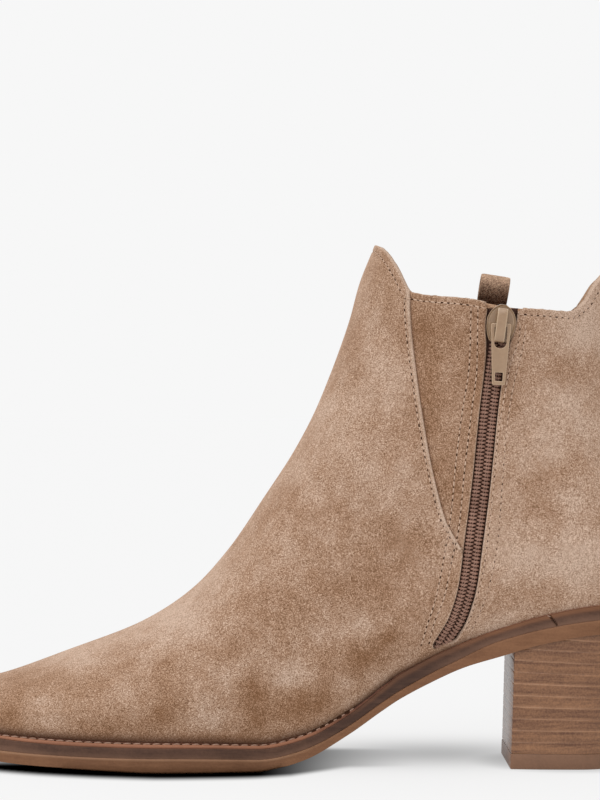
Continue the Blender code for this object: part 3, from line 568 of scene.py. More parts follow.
    def wall_y(self, x: Array, z: Array, side: Side) -> Array:
        """Returns the y of the outer face of the upper over places in the side view.

        Args:
            x: Places along the boot.
            z: Heights of those places.
            side: Side of the boot.

        Returns:
            One y per place.
        """
        rows = self.search_rows
        ridge_x, ridge_z = self.ridge_x(rows), self.ridge_z(rows)
        run_x, run_z = self.base_x(rows) - ridge_x, self.base_z(rows) - ridge_z
        cross = run_x * (z[:, None] - ridge_z) - run_z * (x[:, None] - ridge_x)
        flips = np.diff(np.sign(cross), axis=1) != 0
        last = flips.shape[1] - 1 - np.argmax(flips[:, ::-1], axis=1)
        each = np.arange(len(x))
        share = cross[each, last] / (cross[each, last] - cross[each, last + 1])
        row = rows[last] + share * (rows[1] - rows[0])
        start_x, start_z = self.ridge_x(row), self.ridge_z(row)
        line_x, line_z = self.base_x(row) - start_x, self.base_z(row) - start_z
        way = ((x - start_x) * line_x + (z - start_z) * line_z) / (line_x**2 + line_z**2)
        return self.ridge_y(row) + side.value * self.slice_width(row, np.clip(way, 0.0, 1.0), side)

    def wall(self, x: Array, z: Array, side: Side) -> tuple[Array, Array]:
        """Returns points of the plain outer face and its outward normals over places in the side view.

        Args:
            x: Places along the boot.
            z: Heights of those places.
            side: Side of the boot.

        Returns:
            Points and normals.
        """
        reach = 0.4
        x, z = np.asarray(x, float), np.asarray(z, float)
        points = np.stack([x, self.wall_y(x, z, side), z], -1)
        slope_x = (self.wall_y(x + reach, z, side) - self.wall_y(x - reach, z, side)) / (2 * reach)
        slope_z = (self.wall_y(x, z + reach, side) - self.wall_y(x, z - reach, side)) / (2 * reach)
        normals = side.value * np.stack([-slope_x, np.ones_like(x), -slope_z], -1)
        return points, unit(normals)

    def relief(self, points: Array) -> Array:
        """Returns how far the suede's soft creases lift or sink each point.

        Args:
            points: Places in millimetres, one per row.

        Returns:
            One value per point.
        """
        total = np.zeros(len(points))
        for crease in CREASES:
            path = self.crease_paths[crease.name]
            nearest = np.full(len(points), np.inf)
            for start, end in zip(path, path[1:]):
                nearest = np.minimum(nearest, from_line(points, start, end))
            total += crease.depth * np.exp(-((nearest / crease.width) ** 2))
        return total

    def suede_wall(self, x: Array, z: Array, side: Side) -> tuple[Array, Array]:
        """Returns points of the creased outer face and its outward normals."""
        points, normals = self.wall(x, z, side)
        return points + normals * self.relief(points)[:, None], normals


class Shape(NamedTuple):
    """Points in millimetres and the faces between them."""

    points: Array
    faces: list[Face]


def unit(vectors: Array) -> Array:
    """Returns vectors of length 1 with the same directions."""
    return vectors / np.linalg.norm(vectors, axis=1, keepdims=True)


def distances(path: Array) -> Array:
    """Returns how far along a path each of its points is."""
    return np.concatenate([[0.0], np.cumsum(np.linalg.norm(np.diff(path, axis=0), axis=1))])


def at_places(wanted: Array, places: Array, values: Array) -> Array:
    """Returns points or directions at wanted places, from those at known places."""
    return np.stack([np.interp(wanted, places, values[:, k]) for k in range(values.shape[1])], -1)


def grid_faces(count: int, width: int, flip: bool = False) -> list[Face]:
    """Returns the faces of a grid of points, by the number of its rows and the points in each.

    Args:
        count: Number of rows.
        width: Points in a row.
        flip: Whether faces turn the other way.

    Returns:
        Four point numbers for each face.
    """
    starts = [i * width + j for i in range(count - 1) for j in range(width - 1)]
    if flip:
        return [(a, a + width, a + width + 1, a + 1) for a in starts]
    return [(a, a + 1, a + width + 1, a + width) for a in starts]


def squared(value: float, power: float) -> float:
    """Returns a sine or cosine pressed towards its ends, which squares a round outline."""
    return math.copysign(abs(value) ** power, value)


def join(shapes: Sequence[Shape]) -> Shape:
    """Returns several shapes as one.

    Args:
        shapes: Shapes to put together.

    Returns:
        All their points and faces.
    """
    faces: list[Face] = []
    start = 0
    for shape in shapes:
        faces += [tuple(start + i for i in face) for face in shape.faces]
        start += len(shape.points)
    return Shape(np.concatenate([shape.points for shape in shapes]), faces)


def stamp(shape: Shape, centres: Array, frames: Array) -> Shape:
    """Repeats a shape at many places.

    Args:
        shape: The shape about its own origin.
        centres: Where the copies go.
        frames: One 3 by 3 matrix per copy, whose columns are the shape's own axes.

    Returns:
        The copies as one shape.
    """
    moved = np.einsum("nij,kj->nki", frames, shape.points) + centres[:, None, :]
    count = len(shape.points)
    faces = [tuple(n * count + i for i in face) for n in range(len(centres)) for face in shape.faces]
    return Shape(moved.reshape(-1, 3), faces)


def rings_shape(rings: Array, closed: bool = True) -> Shape:
    """Joins equal rings of points into a tube, with both ends closed by one face each.

    Args:
        rings: Points by ring.
        closed: Whether the ends are closed.

    Returns:
        The tube.
    """
    count, around = rings.shape[:2]
    faces: list[Face] = []
    for k in range(count - 1):
        for i in range(around):
            j = (i + 1) % around
            faces.append((k * around + i, k * around + j, (k + 1) * around + j, (k + 1) * around + i))
    if closed:
        faces.append(tuple(range(around))[::-1])
        faces.append(tuple((count - 1) * around + i for i in range(around)))
    return Shape(rings.reshape(-1, 3), faces)


def tube(path: Array, radius: float, sides: int, guide: tuple[float, float, float]) -> Shape:
    """Returns a round tube along a path of points.

    Args:
        path: The points of its middle line.
        radius: Its radius.
        sides: Number of points around it.
        guide: A direction that the path never takes.

    Returns:
        The closed tube.
    """
    tangents = unit(np.gradient(path, axis=0))
    across = unit(np.cross(tangents, np.array(guide)))
    up = np.cross(across, tangents)
    angles = np.linspace(0.0, 2 * math.pi, sides, endpoint=False)
    spokes = across[:, None] * np.cos(angles)[None, :, None] + up[:, None] * np.sin(angles)[None, :, None]
    return rings_shape(path[:, None] + radius * spokes)


def thread_bar(length: float, width: float, height: float, dip: float) -> Shape:
    """Returns one stitch: a rounded bar along x whose ends dip into the material.

    Args:
        length: Length.
        width: Width.
        height: Thickness.
        dip: How far the ends sink.

    Returns:
        The bar.
    """
    stations = np.array([-1.0, -0.86, -0.5, 0.0, 0.5, 0.86, 1.0])
    angles = np.linspace(0.0, 2 * math.pi, 8, endpoint=False)
    swell = np.sqrt(1.0 - 0.85 * stations**4)
    rings = np.zeros((len(stations), len(angles), 3))
    rings[..., 0] = (stations * length / 2)[:, None]
    rings[..., 1] = swell[:, None] * np.cos(angles) * width / 2
    rings[..., 2] = swell[:, None] * np.sin(angles) * height / 2 - dip * (stations**2)[:, None]
    return rings_shape(rings)


def even_stations(points: Array, pitch: float) -> tuple[Array, Array]:
    """Spaces places evenly along a path.

    Args:
        points: The path.
        pitch: Distance from one place to the next, twice that of the first from the path's end.

    Returns:
        The places and the path's direction at each.
    """
    marks = distances(points)
    wanted = np.arange(0.5 * pitch, marks[-1] - 0.25 * pitch, pitch)
    along = at_places(wanted + 0.3 * pitch, marks, points) - at_places(wanted - 0.3 * pitch, marks, points)
    return at_places(wanted, marks, points), unit(along)


def frames_on(normals: Array, along: Array) -> Array:
    """Returns frames whose x runs along a line and whose z is near the normals."""
    across = unit(np.cross(normals, along))
    return np.stack([along, across, np.cross(along, across)], -1)


def make_piece(
    name: str,
    shape: Shape,
    finish: Material,
    sharp: float = 40.0,
    marks: Optional[dict[str, Array]] = None,
    weld: float = 0.0,
) -> Piece:
    """Makes an object from a shape.

    Args:
        name: The piece's name.
        shape: Its points in millimetres and faces.
        finish: Its material.
        sharp: Edges that bend more than this many degrees stay sharp.
        marks: Values per point that its material reads, by name.
        weld: Points closer than this many millimetres become one.

    Returns:
        The object.
    """
    mesh = bpy.data.meshes.new(name)
    mesh.from_pydata((shape.points * MM).tolist(), [], shape.faces)
    for label, values in (marks or {}).items():
        layer = mesh.attributes.new(label, "FLOAT", "POINT")
        layer.data.foreach_set("value", np.asarray(values, np.float32))
    work = bmesh.new()
    work.from_mesh(mesh)
    if weld > 0.0:
        bmesh.ops.remove_doubles(work, verts=work.verts, dist=weld * MM)
        bmesh.ops.dissolve_degenerate(work, edges=work.edges, dist=0.2 * weld * MM)
    bmesh.ops.recalc_face_normals(work, faces=work.faces)
    work.to_mesh(mesh)
    work.free()
    mesh.shade_smooth()
    mesh.set_sharp_from_angle(angle=math.radians(sharp))
    mesh.materials.append(finish)
    piece = bpy.data.objects.new(name, mesh)
    bpy.context.scene.collection.objects.link(piece)
    return piece


def fit(piece: Piece, nodes: Sequence[str] = (), body: str = "boot") -> None:
    """Rides a piece on its body and hides the solids that it stands for.

    Args:
        piece: Finished piece.
        nodes: Solids.
        body: Body it moves with.
    """
    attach(piece, body)
    if nodes:
        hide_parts(*nodes)
    LOG.info("%s: %d faces, on %s", piece.name, len(piece.data.polygons), body)


def linear(colour: Colour) -> tuple[float, float, float, float]:
    """Turns a colour of 0 to 255 as a screen shows it into the shader's linear values."""
    values = [c / 255.0 for c in colour]
    return (*[v / 12.92 if v <= 0.04045 else ((v + 0.055) / 1.055) ** 2.4 for v in values], 1.0)


class Wiring:
    """Adds nodes to one node tree, with inputs given as sockets or plain values."""

    def __init__(self, tree: bpy.types.NodeTree) -> None:
        """Keeps the tree to work on."""
        self.tree = tree

    def feed(self, node: Node, inputs: dict) -> None:
        """Gives values or sockets to a node's inputs, by name or number.

        Args:
            node: Node to feed.
            inputs: Values or sockets by input.
        """
        for key, value in inputs.items():
            if isinstance(value, Socket):
                self.tree.links.new(value, node.inputs[key])
            else:
                node.inputs[key].default_value = value

    def put(self, kind: str, inputs: Optional[dict] = None, **settings: object) -> Node:
        """Adds a node.

        Args:
            kind: The node's type, without its first word.
            inputs: Values or sockets for its inputs, by name or number.
            **settings: The node's own settings.

        Returns:
            The node.
        """
        node = self.tree.nodes.new("ShaderNode" + kind)
        for key, value in settings.items():
            setattr(node, key, value)
        self.feed(node, inputs or {})
        return node

    def math(self, operation: str, a: Feed, b: Feed = 0.0) -> Socket:
        """Returns the result of a sum on two values or sockets."""
        return self.put("Math", {0: a, 1: b}, operation=operation).outputs[0]

    def times(self, a: Feed, b: Feed) -> Socket:
        """Returns the product of two values or sockets."""
        return self.math("MULTIPLY", a, b)

    def add(self, total: Feed, *others: Feed) -> Socket:
        """Returns the sum of values or sockets.

        Args:
            total: First value or socket.
            *others: The others.

        Returns:
            Socket with the sum.
        """
        for other in others:
            total = self.math("ADD", total, other)
        return total

    def span(self, value: Feed, low: float, high: float, to_low: float = 0.0, to_high: float = 1.0) -> Socket:
        """Returns a value moved from one range to another and held there."""
        return self.put("MapRange", {0: value, 1: low, 2: high, 3: to_low, 4: to_high}).outputs[0]

    def mix(self, share: Feed, a: Feed, b: Feed, blend: str = "MIX") -> Socket:
        """Returns a colour between two colours."""
        return self.put("Mix", {0: share, 6: a, 7: b}, data_type="RGBA", blend_type=blend).outputs[2]

    def noise(self, vector: Feed, scale: Feed, detail: float, rough: float) -> Socket:
        """Returns a noise value."""
        inputs = {"Vector": vector, "Scale": scale, "Detail": detail, "Roughness": rough}
        return self.put("TexNoise", inputs).outputs[0]

    def mark(self, name: str) -> Socket:
        """Returns a value that the mesh carries per point."""
        return self.put("Attribute", attribute_name=name).outputs["Fac"]

    def place(self) -> Socket:
        """Returns the place on the object, in metres."""
        return self.put("TexCoord").outputs["Object"]

    def drawn_out(self, vector: Feed, share: float) -> Socket:
        """Returns a place whose level axes are scaled down, so that spots become streaks."""
        return self.put("Mapping", {"Vector": vector, "Scale": (share, share, 1.0)}).outputs[0]


class Effect(Enum):
    """The shader node groups that more than one finish uses."""

    GRAIN = "fine_grain"
    MOTTLE = "slow_mottle"
    WEAVE = "woven_threads"


class NoiseLayer(NamedTuple):
    """One noise of a group: how much finer it is than the first, its detail, its roughness and its share."""

    finer: float
    detail: float
    rough: float
    share: float


class EffectKit:
    """Builds each shared node group once."""

    def __init__(self) -> None:
        """Makes the groups."""
        grain = NoiseLayer(1.0, 1.0, 0.5, 0.76), NoiseLayer(0.43, 1.0, 0.5, 0.24)
        mottle = NoiseLayer(1.0, 3.0, 0.55, 0.65), NoiseLayer(4.1, 3.0, 0.6, 0.35)
        self.groups = {
            Effect.GRAIN: self.build_noises(Effect.GRAIN, grain, 0.3, 0.7),
            Effect.MOTTLE: self.build_noises(Effect.MOTTLE, mottle, 0.34, 0.66),
            Effect.WEAVE: self.build_weave(),
        }

    @staticmethod
    def start(effect: Effect, outputs: Sequence[str]) -> tuple[Wiring, Node, Node]:
        """Opens a node group that takes a place and a scale, and returns its wiring, inputs and outputs.

        Args:
            effect: Effect to make.
            outputs: Names of its outputs.

        Returns:
            Wiring, inputs and outputs.
        """
        group = bpy.data.node_groups.new(effect.value, "ShaderNodeTree")
        group.interface.new_socket("Place", in_out="INPUT", socket_type="NodeSocketVector")
        group.interface.new_socket("Scale", in_out="INPUT", socket_type="NodeSocketFloat")
        for label in outputs:
            group.interface.new_socket(label, in_out="OUTPUT", socket_type="NodeSocketFloat")
        return Wiring(group), group.nodes.new("NodeGroupInput"), group.nodes.new("NodeGroupOutput")

    def build_noises(
        self, effect: Effect, layers: Sequence[NoiseLayer], low: float, high: float
    ) -> bpy.types.NodeTree:
        """Makes spots and a height from noises of several sizes.

        Args:
            effect: Which group.
            layers: The noises.
            low: Height where a spot is darkest.
            high: Height where it is lightest.

        Returns:
            The group.
        """
        wiring, given, wanted = self.start(effect, ("Spots", "Height"))
        place, scale = given.outputs["Place"], given.outputs["Scale"]
        parts = []
        for layer in layers:
            noise = wiring.noise(place, wiring.times(scale, layer.finer), layer.detail, layer.rough)
            parts.append(wiring.times(noise, layer.share))
        height = wiring.add(*parts)
        wiring.feed(wanted, {"Spots": wiring.span(height, low, high), "Height": height})
        return wiring.tree

    def build_weave(self) -> bpy.types.NodeTree:
        """Makes woven threads: two crossing rows of ribs that take turns to lie on top.

        Returns:
            The node group.
        """
        wiring, given, wanted = self.start(Effect.WEAVE, ("Height",))
        split = wiring.put("SeparateXYZ", {0: given.outputs["Place"]})
        along = wiring.times(split.outputs[0], given.outputs["Scale"])
        across = wiring.times(split.outputs[1], given.outputs["Scale"])
        warp = wiring.math("ABSOLUTE", wiring.math("SINE", wiring.times(along, math.pi)))
        weft = wiring.math("ABSOLUTE", wiring.math("SINE", wiring.times(across, math.pi)))
        turns = wiring.add(wiring.math("FLOOR", along), wiring.math("FLOOR", across))
        over = wiring.math("MODULO", wiring.math("ABSOLUTE", turns), 2.0)
        weft_top = wiring.times(wiring.math("SUBTRACT", 1.0, over), weft)
        wiring.feed(wanted, {"Height": wiring.add(wiring.times(over, warp), weft_top)})
        return wiring.tree

    def place(self, wiring: Wiring, effect: Effect, vector: Socket, scale: float) -> dict[str, Socket]:
        """Puts a group into a material.

        Args:
            wiring: The material's wiring.
            effect: Which group.
            vector: The place that it reads.
            scale: How many grains, patches or threads to the metre.

        Returns:
            The group's outputs by name.
        """
        node = wiring.put("Group", node_tree=self.groups[effect])
        wiring.feed(node, {"Place": vector, "Scale": scale})
        return {socket.name: socket for socket in node.outputs}


@dataclass(frozen=True)
class Finish:
    """A surface's colours as a screen shows them, its gloss and its relief.

    Attributes:
        name: The material's name.
        dark: Colour of its dark places.
        light: Colour of its light places.
        roughness: How matt it is.
        shine: Strength of its plain reflections.
        sheen: Strength of the soft light of standing fibres.
        coat: Strength of a clear varnish.
        coat_blur: How matt the varnish is.
        relief: Height of its grain in millimetres.
    """

    name: str
    dark: Colour
    light: Colour
    roughness: float = 0.8
    shine: float = 0.3
    sheen: float = 0.0
    coat: float = 0.0
    coat_blur: float = 0.25
    relief: float = 0.05

    def colour_and_height(self, wiring: Wiring, effects: EffectKit) -> tuple[Socket, Socket]:
        """Returns the colour and the height of the surface, which each kind of finish makes its own way."""
        raise NotImplementedError

    def between(self, wiring: Wiring, tone: Socket) -> Socket:
        """Returns the colour between dark and light at a tone."""
        return wiring.mix(tone, linear(self.dark), linear(self.light))

    def build(self, effects: EffectKit) -> Material:
        """Returns the material, with its fixed numbers set on the shader.

        Args:
            effects: Shared node groups.

        Returns:
            The material.
        """
        material = bpy.data.materials.new(self.name)
        material.use_nodes = True
        wiring = Wiring(material.node_tree)
        colour, height = self.colour_and_height(wiring, effects)
        bump = wiring.put("Bump", {"Strength": 1.0, "Distance": self.relief * MM, "Height": height})
        inputs = {
            "Base Color": colour, "Normal": bump.outputs[0], "Roughness": self.roughness,
            "Specular IOR Level": self.shine, "Sheen Weight": self.sheen, "Sheen Roughness": 0.45,
            "Sheen Tint": linear(self.light), "Coat Weight": self.coat, "Coat Roughness": self.coat_blur,
        }
        wiring.feed(material.node_tree.nodes["Principled BSDF"], inputs)
        return material


@dataclass(frozen=True)
class SuedeFinish(Finish):
    """Napped suede: marks in the brushed pile with a painted highlight, raw edges, a painted shade along the
    sole and a speckle of fibres.

    Attributes:
        middle: Colour between light and dark.
        raw: Colour of cut edges.
        foot: Colour of the painted shade close to the sole, where the suede meets the welt.
    """

    middle: Colour = (162, 129, 105)
    raw: Colour = (192, 168, 148)
    foot: Colour = (84, 56, 40)

    def colour_and_height(self, wiring: Wiring, effects: EffectKit) -> tuple[Socket, Socket]:
        """Returns the brushed colour and the height of the fibres.

        Args:
            wiring: Node tree of the material.
            effects: Shared node groups.

        Returns:
            Colour and height.
        """
        place = wiring.place()
        mottle = effects.place(wiring, Effect.MOTTLE, place, 48.0)["Spots"]
        grain = effects.place(wiring, Effect.GRAIN, place, 3000.0)
        raw = wiring.mark("raw")
        # Tone from the mark of pile marks and painted highlight, then mottle, fibres and pale raw edges
        tone = wiring.add(
            wiring.span(wiring.mark("nap"), -1.0, 1.0, 0.03, 0.97),
            wiring.span(mottle, 0.15, 0.85, -0.17, 0.17),
            wiring.span(grain["Spots"], 0.0, 1.0, -0.42, 0.42),
            wiring.times(raw, 0.5),
        )
        low = wiring.mix(wiring.span(tone, 0.0, 0.5), linear(self.dark), linear(self.middle))
        colour = wiring.mix(wiring.span(tone, 0.5, 1.0), low, linear(self.light))
        fibres = wiring.span(grain["Spots"], 0.0, 1.0, 0.68, 1.32)
        colour = wiring.mix(1.0, colour, fibres, "MULTIPLY")
        # Painted shade along the foot, where the suede meets the welt
        colour = wiring.mix(wiring.mark("foot"), colour, linear(self.foot))
        return wiring.mix(wiring.times(raw, 0.4), colour, linear(self.raw)), grain["Height"]


@dataclass(frozen=True)
class EdgeFinish(Finish):
    """A trimmed and waxed leather edge with long fibres and a pale line along its rounded edges, which is
    wear and a painted highlight.

    Attributes:
        line: Colour of the pale line: on an edge wear and a painted highlight, on a stack the line between
            layers.
        stain: Colour of its dark stain at the waist.
        trim: Colour of the rust line along its top behind the waist.
    """

    line: Colour = (140, 108, 88)
    stain: Optional[Colour] = None
    trim: Optional[Colour] = None

    def colour_and_height(self, wiring: Wiring, effects: EffectKit) -> tuple[Socket, Socket]:
        """Returns the streaked colour and the height of streaks and grain.

        Args:
            wiring: Node tree of the material.
            effects: Shared node groups.

        Returns:
            Colour and height.
        """
        place = wiring.place()
        streaks = effects.place(wiring, Effect.MOTTLE, wiring.drawn_out(place, 0.12), 700.0)["Spots"]
        patch = effects.place(wiring, Effect.MOTTLE, place, 45.0)["Spots"]
        grain = effects.place(wiring, Effect.GRAIN, place, 1300.0)
        shares = ((streaks, 0.4), (patch, 0.38), (grain["Spots"], 0.22))
        colour = self.between(wiring, wiring.add(*(wiring.times(spots, share) for spots, share in shares)))
        # Where the mark `line` is set an edge gets its pale line of wear and painted highlight
        layers = (
            ("line", self.line, wiring.span(patch, 0.0, 1.0, 0.55, 1.0)),
            ("stain", self.stain, wiring.span(streaks, 0.0, 1.0, 0.9, 0.5)),
            ("trim", self.trim, wiring.span(streaks, 0.0, 1.0, 0.75, 1.0)),
        )
        for label, tint, strength in layers:
            if tint:
                colour = wiring.mix(wiring.times(wiring.mark(label), strength), colour, linear(tint))
        return colour, wiring.add(grain["Height"], wiring.times(streaks, 0.6))


@dataclass(frozen=True)
class StackFinish(EdgeFinish):
    """Stacked leather: every layer its own tone, with a pale line where two meet."""

    def colour_and_height(self, wiring: Wiring, effects: EffectKit) -> tuple[Socket, Socket]:
        """Returns the layered colour and the height of streaks and grain.

        Args:
            wiring: Node tree of the material.
            effects: Shared node groups.

        Returns:
            Colour and height.
        """
        place = wiring.place()
        streaks = effects.place(wiring, Effect.MOTTLE, wiring.drawn_out(place, 0.08), 480.0)["Spots"]
        grain = effects.place(wiring, Effect.GRAIN, place, 1700.0)
        tone = wiring.add(
            wiring.times(wiring.mark("tone"), 0.16),
            0.42,
            wiring.span(streaks, 0.0, 1.0, -0.22, 0.22),
            wiring.span(grain["Spots"], 0.0, 1.0, -0.24, 0.24),
        )
        streaky = wiring.times(wiring.mark("dark"), wiring.span(streaks, 0.2, 0.8, 0.6, 0.1))
        colour = self.between(wiring, wiring.math("SUBTRACT", tone, streaky))
        wavy = wiring.times(wiring.mark("line"), wiring.span(streaks, 0.2, 0.8, 0.25, 1.0))
        colour = wiring.mix(wavy, colour, linear(self.line))
        return colour, wiring.add(grain["Height"], wiring.times(streaks, 0.5))


@dataclass(frozen=True)
class WovenFinish(Finish):
    """Woven tape or lining, whose threads follow its own length and width.

    Attributes:
        threads: Threads to the metre.
        painted_shade_strength: How much darker a painted shade makes it where the mark `deep` is 1.
    """

    threads: float = 1500.0
    painted_shade_strength: float = 0.0

    def colour_and_height(self, wiring: Wiring, effects: EffectKit) -> tuple[Socket, Socket]:
        """Returns the colour and the height of the threads.

        Args:
            wiring: Node tree of the material.
            effects: Shared node groups.

        Returns:
            Colour and height.
        """
        weave = effects.place(wiring, Effect.WEAVE, wiring.put("UVMap").outputs[0], self.threads)["Height"]
        grain = effects.place(wiring, Effect.GRAIN, wiring.place(), 1800.0)
        tone = wiring.add(wiring.times(weave, 0.55), -0.1, wiring.times(grain["Spots"], 0.5))
        # Painted shade where the mark `deep` is set
        if self.painted_shade_strength > 0.0:
            tone = wiring.math("SUBTRACT", tone, wiring.times(wiring.mark("deep"), self.painted_shade_strength))
        return self.between(wiring, wiring.span(tone, 0.0, 1.0)), weave


@dataclass(frozen=True)
class GrainFinish(Finish):
    """A plain material with a fine grain and slow patches: paint, thread, rubber or moulded coils.

    Attributes:
        grains: Grains to the metre.
        rim: Colour of a painted highlight on its rounded edges, where its edge mark is set.
    """

    grains: float = 1500.0
    rim: Optional[Colour] = None

    def colour_and_height(self, wiring: Wiring, effects: EffectKit) -> tuple[Socket, Socket]:
        """Returns the patchy colour and the height of the grain.

        Args:
            wiring: Node tree of the material.
            effects: Shared node groups.

        Returns:
            Colour and height.
        """
        place = wiring.place()
        patch = effects.place(wiring, Effect.MOTTLE, place, 120.0)["Spots"]
        grain = effects.place(wiring, Effect.GRAIN, place, self.grains)
        colour = self.between(wiring, wiring.add(wiring.times(patch, 0.6), wiring.times(grain["Spots"], 0.4)))
        # Painted highlight on the rounded edges of the metal
        if self.rim:
            colour = wiring.mix(wiring.mark("wear_and_painted_highlight"), colour, linear(self.rim))
        return colour, grain["Height"]


FINISHES = (
    SuedeFinish("suede", (127, 91, 64), (191, 165, 146), roughness=0.95, shine=0.08, sheen=0.7, relief=0.13),
    EdgeFinish(
        "welt_rust", (112, 70, 50), (148, 97, 71), roughness=0.6, line=(158, 108, 81), stain=(76, 42, 27)
    ),
    EdgeFinish(
        "edge_dark", (58, 38, 29), (100, 71, 56), roughness=0.55, shine=0.2, relief=0.06,
        line=(136, 103, 84), stain=(56, 38, 31), trim=(120, 80, 55),
    ),
    EdgeFinish(
        "sole_tan", (104, 69, 47), (136, 96, 68), roughness=0.55, shine=0.2, relief=0.06, line=(146, 110, 84)
    ),
    StackFinish(
        "heel_stack", (96, 62, 43), (152, 109, 77), roughness=0.55, shine=0.1, coat=0.6, coat_blur=0.22,
        relief=0.03, line=(174, 131, 99),
    ),
    GrainFinish(
        "lift_tan", (112, 79, 57), (130, 93, 69), roughness=0.6, coat=0.35, coat_blur=0.3, relief=0.04
    ),
    GrainFinish("thread", (174, 143, 121), (212, 184, 162), roughness=0.7, shine=0.15),
    GrainFinish("welt_thread", (140, 109, 92), (174, 143, 126), shine=0.1),
    # Dark bars in the needle holes: painted shade
    GrainFinish("needle_hole_shade", (44, 27, 19), (66, 43, 31), roughness=0.9, shine=0.0),
    GrainFinish("zip_coil", (120, 88, 74), (170, 132, 114), roughness=0.45, relief=0.03),
    GrainFinish("zip_thread", (126, 93, 79), (174, 137, 120), shine=0.1),
    WovenFinish("zip_tape", (50, 33, 27), (80, 57, 48), roughness=0.9, shine=0.05, threads=1700.0),
    GrainFinish(
        "zip_paint", (148, 118, 90), (163, 133, 104), roughness=0.3, shine=0.5, coat=0.5, relief=0.012,
        grains=900.0, rim=(180, 153, 124),
    ),
    WovenFinish(
        "strap_weave", (66, 36, 23), (250, 210, 178), roughness=0.95, shine=0.05, sheen=0.3, relief=0.15,
        threads=2300.0, painted_shade_strength=0.62,
    ),
    WovenFinish(
        "lining_weave", (164, 126, 97), (204, 168, 138), roughness=0.95, sheen=0.1, relief=0.08,
        threads=1300.0,
    ),
    GrainFinish("insole_beige", (160, 128, 100), (190, 160, 130), relief=0.06),
)


def loops_shape(loops: Sequence[Array]) -> Shape:
    """Joins equal loops into a tube and closes both ends with strips from one side to the other.

    Args:
        loops: Loops whose first half runs along one side and whose second half runs back along the other.

    Returns:
        The closed shape.
    """
    count = len(loops[0])
    half = count // 2
    tube_shape = rings_shape(np.stack(loops), closed=False)
    faces = tube_shape.faces
    top = (len(loops) - 1) * count
    for i in range(half - 1):
        a, b, c, d = i, count - 1 - i, count - 2 - i, i + 1
        faces.append((a, b, c, d))
        faces.append((top + d, top + c, top + b, top + a))
    return Shape(tube_shape.points, faces)


class Level(NamedTuple):
    """One loop round a sole layer: its inset, its height, its share of the pale line of wear and painted
    highlight, and its share of rust trim.
    """

    inset: float | Curve
    height: Curve
    wear_and_painted_highlight: float = 0.0
    trim: float = 0.0


